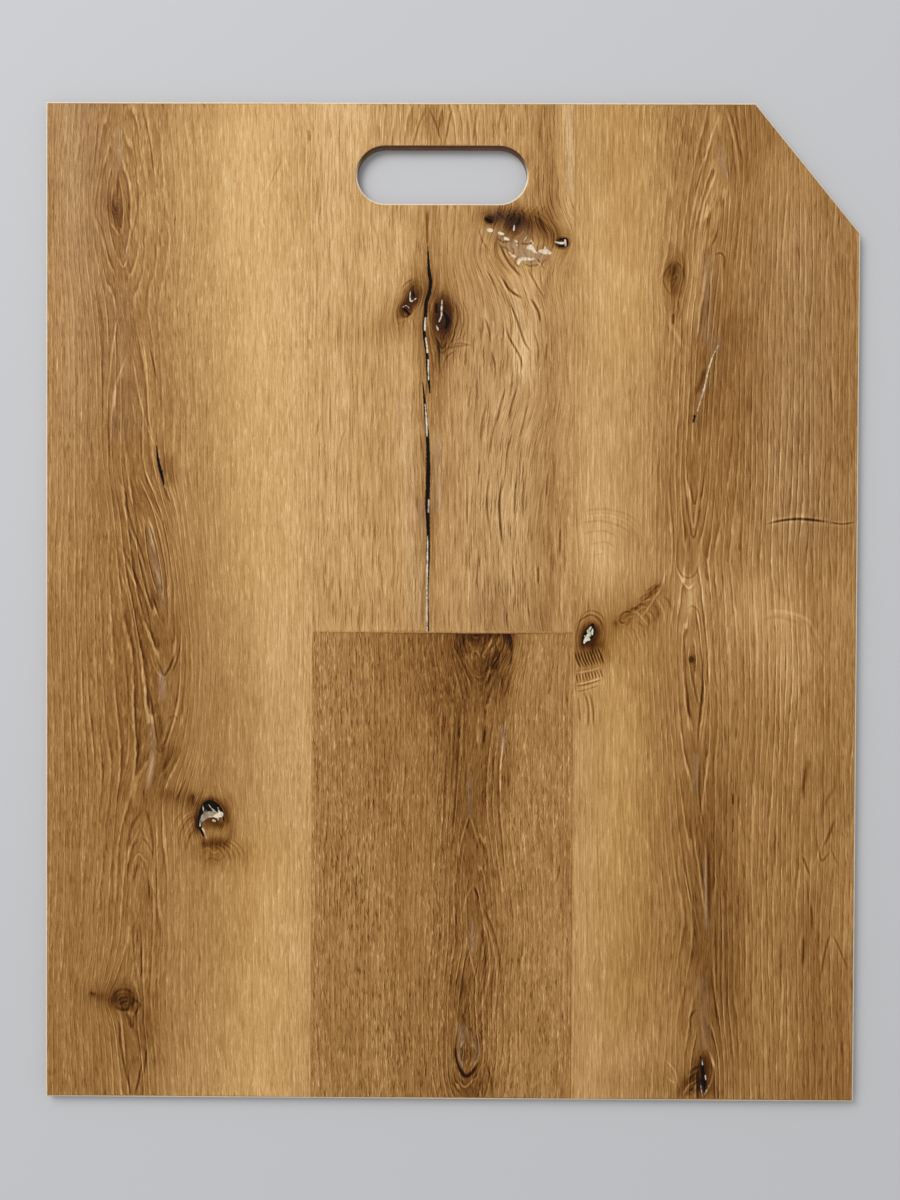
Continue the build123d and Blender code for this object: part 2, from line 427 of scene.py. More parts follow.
UPPER_CENTRE_PLANK = Decor(
    heart=(
        (430, 104, 22), (430, 145, 14), (429, 180, 9), (427.5, 230, 5), (430, 280, 3), (426, 330, 3),
        (426, 400, 3), (428, 500, 3), (428, 632, 3),
    ),
    knots=(
        Knot((409, 303), (6.5, 14), -35, 0.75, -0.18, 0.7),
        Knot((443, 317), (10, 18), 0, 0.9, -0.2, 0.85),
        Knot((490, 219.5), (4.5, 4), 0, 0.95, -0.12, 0.2),
        Knot((514.5, 225), (9, 10), 0, 0.5, -0.16, 0.6),
        Knot((562, 243), (6.5, 5), 0, 1, -0.06, 0.3),
        Knot((528, 244), (30, 16), 15, 0, -0.02, 0.75),
    ),
    bends=(
        Stroke(((525, 330), (530, 390)), 44, 16),
        Stroke(((520, 540), (520, 600)), 44, -6),
    ),
    lined=(
        Stroke(((440, 104), (440, 140)), 60, 0.5),
        Stroke(((442, 316), (442, 350)), 18, 0.4),
    ),
    pitted=(
        Stroke(((500, 280), (505, 400), (500, 620)), (36, 46, 46), (0.4, 0.5, 0.5)),
        Stroke(((350, 450), (350, 620)), 36, 0.2),
        Stroke(((540, 110), (550, 190)), 24, 0.6),
    ),
    shades=(
        Stroke(((335, 104), (335, 340)), (36, 30), (0.07, 0.02)),
        Stroke(((340, 380), (330, 500)), 22, 0.03),
        Stroke(((508, 490), (510, 610)), 16, 0.04),
        Stroke(((520, 270), (525, 360)), 20, 0.03),
        Stroke(((420, 490), (424, 520)), 8, -0.05),
        Stroke(((402, 130), (430, 118)), 12, -0.05),
        Stroke(((404, 312), (412, 298)), 8, -0.08),
        Stroke(((443, 300), (443, 346)), (8, 8), -0.1),
        Stroke(((413, 287), (413, 296), (416, 301)), (1.5, 3, 2), -0.2),
        Stroke(((505, 216), (528, 222)), 9, -0.12),
        Stroke(((375, 215), (378, 300)), 14, 0.05),
        Stroke(((428, 205), (428, 290)), (12, 16), (-0.06, -0.14)),
        Stroke((
            (426, 330), (428, 440), (428, 530), (426, 632)
        ), (14, 9, 11, 8), (-0.14, -0.07, -0.13, -0.04)),
        Stroke(((440, 350), (440, 412)), (12, 5), (-0.12, -0.06)),
        Stroke(((505, 104), (500, 632)), 70, (-0.04, -0.06)),
        Stroke(((542, 104), (552, 230)), 14, (-0.08, -0.1)),
        Stroke(((549, 330), (550, 430), (545, 632)), (10, 12, 12), (-0.05, -0.09, -0.06)),
        Stroke(((567, 104), (567, 220)), 8, 0.07),
        Stroke(((525, 285), (522, 370)), 12, 0.06),
        Stroke(((340, 335), (400, 330)), 16, -0.04),
        Stroke((
            (485, 214), (515, 219), (540, 224), (556, 234)
        ), (8, 13, 12, 8), (-0.14, -0.19, -0.16, -0.12)),
        Stroke(((496, 238), (514, 249), (530, 258), (546, 258)), (6, 10, 9, 6), -0.07),
        Stroke(((432, 104), (440, 140)), 14, -0.07),
        Stroke(((330, 612), (560, 612)), 20, -0.04),
        Stroke(((412, 282), (408, 292)), 5, -0.12),
    ),
    lines=(
        Stroke(((427, 105), (418, 128), (413, 147)), 0.9, -0.1),
        Stroke(((427, 105), (435, 122), (443, 146)), 0.9, -0.1),
        Stroke(((453, 104), (449, 122), (445.5, 143)), 1, -0.14),
        Stroke(((477, 106), (473, 143)), 0.9, -0.12),
        Stroke(((502, 105), (498, 130)), 0.8, -0.12),
        Stroke(((427, 206), (427, 226), (427.5, 250)), (1.4, 1), -0.18),
        Stroke(((497, 212), (506, 220)), 1, -0.05),
        Stroke(((530, 214), (542, 222), (552, 234)), 1, -0.05),
        Stroke(((520, 209), (526, 216)), 1, -0.05),
        Stroke(((538, 212), (550, 222)), 0.9, -0.05),
        # Curls between the filler's flecks
        Stroke(((497, 238), (503, 242), (510, 241)), 0.9, -0.12),
        Stroke(((500, 246), (507, 249), (510, 256)), 0.9, -0.1),
        Stroke(((510, 246), (514, 251), (511, 258)), 0.9, -0.12),
        Stroke(((519, 255), (515, 262), (521, 268)), 0.9, -0.12),
        Stroke(((536, 257), (539, 262), (534, 268)), 0.9, -0.12),
        Stroke(((547, 258), (542, 264), (545, 270)), 0.9, -0.1),
        Stroke(((520, 243), (527, 244), (534, 242)), 0.9, -0.12),
        Stroke(((523, 263), (530, 266), (538, 264)), 0.9, -0.1),
        # Soft waves to the left of the slot's lower edge
        Stroke(((321, 205), (319, 222), (323, 238)), 1.3, -0.05),
        Stroke(((333, 232), (329, 250), (331, 268)), 1.2, -0.05),
        Stroke(((358, 205), (361, 225), (357, 245)), 1.3, -0.04),
        Stroke(((372, 222), (378, 240), (376, 262)), 1.2, -0.05),
        Stroke(((316, 258), (318, 280), (315, 300)), 1.2, -0.05),
        Stroke(((332, 285), (328, 305), (333, 322)), 1.3, -0.05),
        Stroke(((352, 262), (350, 285)), 1.2, -0.04),
        Stroke(((366, 275), (364, 300), (368, 318)), 1.2, -0.04),
        Stroke(((478, 226), (482, 240), (490, 252)), 0.8, -0.09),
        Stroke(((498, 240), (506, 258), (515, 270), (523, 279)), 1.03, -0.2),
        Stroke(((486, 268), (494, 284), (500, 300)), 0.92, -0.15),
        Stroke(((491, 350), (495, 366), (494, 384)), 0.92, -0.16),
        Stroke(((534, 330), (538, 348), (538, 366)), 0.92, -0.15),
        Stroke(((505, 388), (500, 408), (496, 426)), 1.03, -0.17),
        Stroke(((518, 384), (512, 404), (508, 424)), 0.92, -0.15),
        Stroke(((487, 402), (482, 424), (480, 446)), 0.92, -0.15),
        Stroke(((528, 400), (524, 420), (519, 440)), 0.92, -0.15),
        Stroke(((471, 384), (468, 410)), 0.92, -0.13),
        Stroke(((490, 470), (487, 500), (489, 530)), 0.92, -0.15),
        Stroke(((478, 556), (476, 590)), 0.92, -0.13),
        Stroke(((512, 560), (515, 590), (514, 612)), 0.92, -0.16),
        Stroke(((526, 470), (523, 500), (524, 524)), 0.92, -0.13),
        Stroke(((548, 470), (546, 500)), 0.92, -0.13),
        Stroke(((502, 276), (510, 290), (523, 299)), 1.26, -0.24),
        Stroke(((530, 297), (538, 311), (540.5, 324)), 1.26, -0.23),
        Stroke(((510, 301), (517, 320), (525, 343), (533, 354)), 1.03, -0.21),
        Stroke(((506, 323), (509, 337), (520, 357), (523, 373)), 1.03, -0.2),
        Stroke(((547, 341), (546, 362)), 1.03, -0.17),
        Stroke(((484, 316), (489, 330), (491, 345)), 0.92, -0.15),
        Stroke(((527, 268), (536, 284), (545, 300)), 0.92, -0.15),
        Stroke(((503, 475), (499.5, 500), (500.5, 525), (502.5, 552)), 1.15, -0.24),
        Stroke(((516, 478), (514, 518)), 1.03, -0.21),
        Stroke(((467, 470), (467, 530)), 0.92, -0.15),
        Stroke(((538, 565), (538, 585)), 1.15, -0.2),
        Stroke(((560, 525), (560, 556)), 1.03, -0.17),
        Stroke(((437, 302), (436.5, 312)), 2.4, -0.2),
        Stroke(((446, 312), (449, 321), (446, 330)), 3, -0.2),
        Stroke(((432, 329), (437, 340), (442, 348), (448, 340), (453, 328)), 1, -0.07),
        Stroke(((451, 296), (456, 308), (457, 322), (452, 338)), 0.8, -0.12),
        Stroke(((455, 298), (460, 312), (460, 326), (454, 344)), 0.7, -0.1),
        Stroke(((430, 300), (429.5, 314), (431, 326)), 0.8, -0.1),
        Stroke((
            (401, 311), (403, 305), (409, 305), (411.5, 311), (407, 316.5), (402, 315), (401, 311)
        ), 1.2, -0.12),
        Stroke(((412, 316), (414, 326), (414.5, 333)), 0.8, -0.09),
        Stroke(((405, 318), (401, 330)), 0.8, -0.06),
        Stroke(((452, 296), (457, 306), (459, 318), (456, 332), (449, 343)), 0.8, -0.09),
        Stroke(((456, 294), (462, 308), (464, 321), (460, 336), (452, 347)), 0.8, -0.08),
        Stroke(((460, 296), (467, 312), (468, 326), (463, 340)), 0.7, -0.06),
        Stroke(((445, 349), (458, 346), (470, 345)), 1.2, -0.08),
        Stroke(((428, 322), (433, 338), (442, 353), (452, 341), (458, 326)), 0.8, -0.06),
        Stroke(((454, 300), (458, 315), (455, 332)), 0.8, -0.1),
        Stroke(((450, 346), (460, 343), (472, 346)), 0.9, -0.09),
        Stroke(((443, 372), (446, 358), (456, 350)), 0.9, -0.1),
        Stroke(((401, 290), (406, 283), (413, 279)), 0.8, -0.1),
        Stroke(((340, 375), (336, 400), (338, 420)), 1, -0.05),
        Stroke(((347, 425), (340, 445), (339, 470)), 1, -0.06),
        Stroke(((322, 412), (314, 440)), 1, -0.05),
        Stroke(((372, 360), (370, 388)), 0.9, -0.05),
        Stroke(((330, 300), (326, 332)), 0.9, -0.04),
        Stroke(((360, 480), (358, 522)), 0.9, -0.05),
        Stroke(((345, 240), (343, 272)), 0.9, -0.04),
        Stroke(((385, 430), (383, 468)), 0.9, -0.05),
        Stroke(((327, 540), (324, 580)), 1, -0.05),
        Stroke(((395, 540), (394, 590)), 0.9, -0.05),
        *row_of(Stroke(((496, 214), (499, 208), (500, 203)), 0.8, -0.05),
                Stroke(((536, 216), (541, 210), (546, 206)), 0.8, -0.05), 8),
    ),
    washed=(
        Stroke(((500, 330), (500, 600)), 50, 0.08),
        Stroke(((437, 440), (438, 510)), 4, 0.2),
        Stroke(((423, 505), (424, 530)), 3, 0.2),
        Stroke(((405, 400), (418, 620)), 9, 0.12),
        Stroke(((569, 110), (570, 190)), 4, 0.15),
        Stroke(((496, 236), (514, 246), (530, 254), (547, 256)), (5, 9, 10, 6), 0.16),
        Stroke(((494, 215), (512, 220), (524, 232)), (6, 11, 8), 0.17),
    ),
    cracks=(
        Stroke((
            (427.8, 246), (429, 270), (430.5, 281), (429.5, 292), (426.5, 302), (425.5, 315), (424, 326),
            (425, 341), (427, 355), (428, 372), (430, 393)
        ), (0.4, 1.2, 1.7, 1.7, 1.9, 1.7, 1.6, 1.3, 1.6, 1.6, 0.5), 1),
        Stroke(((436.5, 304), (436.5, 312)), (0.5, 1.2), 1),
        Stroke(((444, 312), (448, 320), (446, 328)), (0.6, 2, 1), 1),
        Stroke(((404, 309), (409, 314)), (1, 1.4), 1),
        Stroke(((413, 291), (414, 296)), (0.4, 1), 1),
        Stroke(((486, 219), (491, 221.5)), (1.4, 1.8), 1),
        Stroke(((560, 239.5), (566.5, 239), (567, 245.5), (560, 246)), 0.8, 1),
        Stroke((
            (422.8, 382), (424.5, 400), (425.5, 413), (427.5, 436), (428.2, 460), (428, 484), (427.5, 505),
            (428.2, 530), (428, 560), (427.4, 596), (428, 634)
        ), (0.4, 1.4, 1.6, 1.9, 2.2, 2.2, 1.6, 2, 1.2, 1.1, 1.1), 1),
    ),
    fillers=(
        Stroke(((425.2, 318), (424.8, 330)), 0.9, 1),
        Stroke(((425.8, 338), (427.4, 352)), (0.7, 0.9), 1),
        Stroke(((428.2, 360), (428.6, 380)), (0.8, 0.6), 1),
        Stroke(((425, 404), (426.4, 420), (427, 436)), (0.5, 0.9, 0.6), 1),
        Stroke(((428.8, 500), (428.6, 512)), 0.8, 0.6),
        Stroke(((427.6, 536), (427.2, 566), (426.8, 598), (427, 633)), (0.6, 0.8, 0.7, 0.7), 1),
        Stroke(((410.2, 291), (410.6, 301), (416, 298.5)), (0.2, 0.6, 0.4), 1),
        Stroke(((403, 307), (406.5, 305.5), (409, 308)), 0.35, 1),
        Stroke(((442, 300), (441.6, 309), (441.2, 316), (438.8, 322)), (0.4, 0.8, 0.7, 0.4), 0.9),
        Stroke(((436.6, 326), (438, 330)), 0.7, 1),
        Stroke(((489, 230), (491.5, 230.5)), (2.2, 1.6), 1),
        Stroke(((499, 233.2), (503, 234)), (1.6, 1.1), 1),
        Stroke(((505, 238.3), (508.5, 239.5)), (1.5, 1), 1),
        Stroke(((515, 241), (516.5, 241.5)), 1.2, 0.9),
        Stroke(((516.5, 246), (518.5, 250)), (1.9, 1.2), 1),
        Stroke(((526, 249.5), (530.5, 247.5), (533, 251.5), (537, 253.5)), (1.6, 2.9, 2.7, 1.3), 1),
        Stroke(((520, 248), (526, 249.5)), (0.9, 1.6), 0.8),
        Stroke(((540, 251), (545, 251.5), (550, 253)), (1.4, 2.8, 1.4), 1),
        Stroke(((545, 247.5), (546, 252)), (0.9, 1.8), 1),
        Stroke(((518.5, 263.5), (520.5, 259.6), (526, 258.4), (534, 258.8)), (1.3, 2.2, 1.9, 1.5), 1),
        Stroke(((512.5, 256), (514.5, 256.5)), 1.4, 0.9),
        Stroke(((508, 244), (522, 251), (540, 257)), (2, 6, 3), 0.1),
        Stroke(((524, 241), (527, 236)), 0.6, 0.7),
        Stroke(((531, 240.5), (533, 243.5)), 0.9, 0.8),
        Stroke(((509, 252.5), (511, 254)), 0.8, 0.7),
        Stroke(((538, 263), (540, 264.5)), 0.8, 0.7),
        Stroke(((514.4, 225.5), (513.6, 230)), (0.6, 0.9), 1),
        Stroke(((555.5, 242), (560, 243), (564.5, 243)), (0.8, 1, 1.3), 1),
        Stroke(((565, 240), (565.5, 245.5)), 1, 1),
    ),
)

LOWER_CENTRE_PLANK = Decor(
    heart=(
        (484, 632, 6), (479, 690, 17), (475, 740, 20), (471, 790, 21), (470, 814, 20), (471, 850, 15),
        (473, 893, 8), (475, 940, 5), (468, 985, 6), (467, 1030, 3), (467, 1055, 4), (466, 1076, 10),
        (467, 1098, 16),
    ),
    knots=(
        Knot((467.5, 1054), (9, 14), 0, 0, -0.02, 0.6),
        Knot((483, 640), (24, 20), 0, 0, -0.02, 0.6),
    ),
    bends=(),
    lined=(
        Stroke(((480, 660), (478, 760), (470, 900), (472, 1098)), (24, 28, 26, 28), (0.1, 0.7, 0.6, 0.7)),
        Stroke(((540, 632), (545, 1098)), 24, -0.2),
    ),
    pitted=(
        Stroke(((350, 680), (355, 1098)), 50, 0.25),
    ),
    shades=(
        Stroke(((470, 634), (504, 634), (484, 668)), (22, 16, 12), (-0.16, -0.16, -0.08)),
        Stroke(((458, 634), (510, 634)), 5, -0.12),
        Stroke(((459, 643), (457.5, 657), (461, 668)), 4, -0.09),
        Stroke(((497.5, 653), (495, 667)), 3, -0.14),
        Stroke(((509, 635), (510, 648)), 2.4, -0.16),
        Stroke(((460, 703), (460, 733)), 4.5, -0.05),
        Stroke(((484, 703), (485, 716)), 3.5, -0.08),
        Stroke(((486, 728), (485.5, 746)), 2.4, -0.1),
        Stroke(((505, 640), (507, 690)), 7, -0.07),
        Stroke(((430, 640), (435, 690)), 24, -0.08),
        Stroke((
            (478, 680), (466, 720), (470, 850), (472, 930), (468, 1098)
        ), (28, 26, 24, 30, 26), (-0.15, -0.14, -0.1, -0.1, -0.13)),
        Stroke(((400, 632), (410, 1098)), 45, (-0.03, -0.03)),
        Stroke(((540, 632), (540, 1098)), 24, (0.03, 0.02)),
        Stroke(((325, 640), (325, 760)), 14, 0.02),
        Stroke(((372, 850), (372, 1000)), 12, 0.02),
        Stroke(((565, 830), (565, 900)), 6, -0.05),
        Stroke(((463, 980), (463, 1026)), 5, -0.08),
        Stroke(((475, 640), (500, 690), (506, 760), (500, 800)), (22, 18, 14, 12), -0.07),
        Stroke(((465, 830), (485, 960), (490, 990)), 14, -0.035),
        Stroke(((455, 1085), (495, 1085)), 12, -0.05),
        Stroke(((345, 870), (345, 990)), 14, 0.03),
    ),
    lines=(
        Stroke(((511, 634), (512, 650), (510, 668)), 1.6, -0.12),
        Stroke(((452, 636), (462, 664), (480, 690), (497, 664), (506, 640)), 1, -0.025),
        Stroke(((456, 636), (465, 662), (481, 684), (495, 660), (503, 637)), 0.8, 0.05),
        Stroke(((462, 636), (470, 656), (482, 673), (493, 655), (500, 637)), 1, -0.025),
        Stroke(((468, 636), (475, 651), (483, 663), (490, 650), (495, 637)), 0.9, -0.025),
        Stroke(((486, 706), (483, 732)), 1.2, -0.1),
        Stroke(((459, 716), (458, 768)), 1, -0.09),
        Stroke(((466, 756), (465, 792)), 1, -0.08),
        Stroke(((492, 742), (494, 788)), 1, -0.09),
        Stroke(((507, 748), (508, 792)), 1, -0.09),
        Stroke(((496, 690), (497, 725)), 0.9, -0.08),
        Stroke(((463, 700), (462, 740)), 0.8, 0.06),
        Stroke(((451, 700), (448, 760)), 0.9, -0.07),
        Stroke(((446, 720), (444, 800), (441, 860)), 0.9, -0.06),
        Stroke(((449, 716), (447, 800), (445, 850)), 0.8, 0.05),
        Stroke(((513, 700), (514, 760)), 0.9, -0.06),
        Stroke(((516, 740), (516, 800)), 0.8, 0.05),
        Stroke(((498, 800), (501, 840), (505, 880)), 0.9, -0.07),
        Stroke(((490, 806), (496, 850), (503, 890)), 0.8, 0.05),
        Stroke(((462, 880), (456, 920), (452, 970)), 0.9, -0.07),
        Stroke(((459, 880), (452, 920), (447, 970)), 0.8, 0.06),
        Stroke(((494, 634), (489, 645), (484, 655)), 0.9, 0.12),
        Stroke(((499, 636), (496, 645)), 0.9, 0.1),
        Stroke(((471, 652), (476, 651), (481, 657)), 0.8, 0.08),
        Stroke(((472.5, 674), (479, 677.5), (482.5, 675)), 0.8, 0.1),
        Stroke(((472.5, 636), (476, 638), (480, 636)), 0.8, 0.09),
        Stroke(((491, 669), (487.5, 686)), 0.9, -0.08),
        Stroke(((500, 668), (493, 694)), 0.9, -0.08),
        Stroke(((510, 680), (503, 700)), 0.9, -0.08),
        Stroke(((505, 664), (498, 690)), 0.8, 0.06),
        Stroke(((464, 680), (469, 700)), 0.9, -0.08),
        Stroke(((478, 710), (478.4, 728), (477.6, 746)), 0.9, 0.11),
        Stroke(((469, 710), (469.4, 728)), 0.9, 0.08),
        Stroke(((466, 640), (472, 648)), 0.8, 0.07),
        Stroke(((497, 642), (501, 655), (499, 668)), 0.8, 0.08),
        Stroke(((492, 640), (489, 648)), 0.8, 0.08),
        Stroke(((462, 664), (468, 680), (472, 694)), 0.8, 0.06),
        Stroke(((500, 672), (503, 690), (500, 704)), 1.2, -0.07),
        Stroke(((456, 730), (457, 770), (455, 800), (450, 860)), 1, -0.12),
        Stroke(((485, 728), (483, 745)), 1.6, -0.14),
        Stroke(((476, 720), (478, 750)), 0.8, 0.1),
        Stroke(((502, 727), (502.5, 745), (500, 772), (501, 800)), 0.9, 0.15),
        Stroke(((469.5, 813), (465, 828), (460, 845), (457, 865)), 1, 0.12),
        Stroke(((469.5, 813), (475, 832), (481, 852)), 1, 0.1),
        Stroke(((469.5, 817), (466, 830)), 1, -0.12),
        Stroke(((472, 886), (466, 898), (463, 915)), 0.9, 0.1),
        Stroke(((473, 885), (478, 897), (476, 902)), 1.1, -0.14),
        Stroke(((476, 900), (487, 925), (494, 950), (497, 975), (495, 1005), (489, 1035)), 1, 0.11),
        Stroke(((479, 900), (491, 925), (499, 955), (501, 985)), 1, -0.11),
        Stroke(((478, 905), (488, 940), (489, 975), (481, 1007), (470, 1027)), 1, 0.11),
        Stroke(((480, 920), (485, 950), (484, 985), (476, 1010)), 1.1, -0.1),
        Stroke(((465, 930), (470, 955), (477, 985), (476, 1005)), 0.8, 0.1),
        Stroke(((461, 985), (465, 962), (468, 948)), 0.9, -0.09),
        Stroke((
            (455, 1036), (455, 1052), (458, 1066), (465.5, 1076), (474, 1070), (482, 1057)
        ), (0.8, 1.4, 2, 2, 2, 1), -0.2),
        Stroke(((455, 1076), (464, 1087), (472, 1081), (479, 1074)), 1, 0.14),
        Stroke(((453, 1082), (460, 1094)), 1, -0.12),
        Stroke(((560, 863), (556, 885)), 1, -0.1),
        Stroke(((486, 1060), (491, 1080), (492, 1095)), 1.4, -0.12),
    ),
    washed=(
        Stroke(((469.5, 780), (469.5, 812)), 1.8, 0.35),
        Stroke(((471, 925), (473, 950)), 2.4, 0.35),
        Stroke(((463, 1030), (461, 1045), (462, 1068)), (5, 2.5, 1.6), 0.35),
        Stroke(((474, 1035), (477, 1050), (475, 1064)), (2, 2.4, 1.6), 0.3),
        Stroke(((503, 726), (502.6, 752)), 2.2, 0.35),
    ),
    cracks=(),
    fillers=(),
)

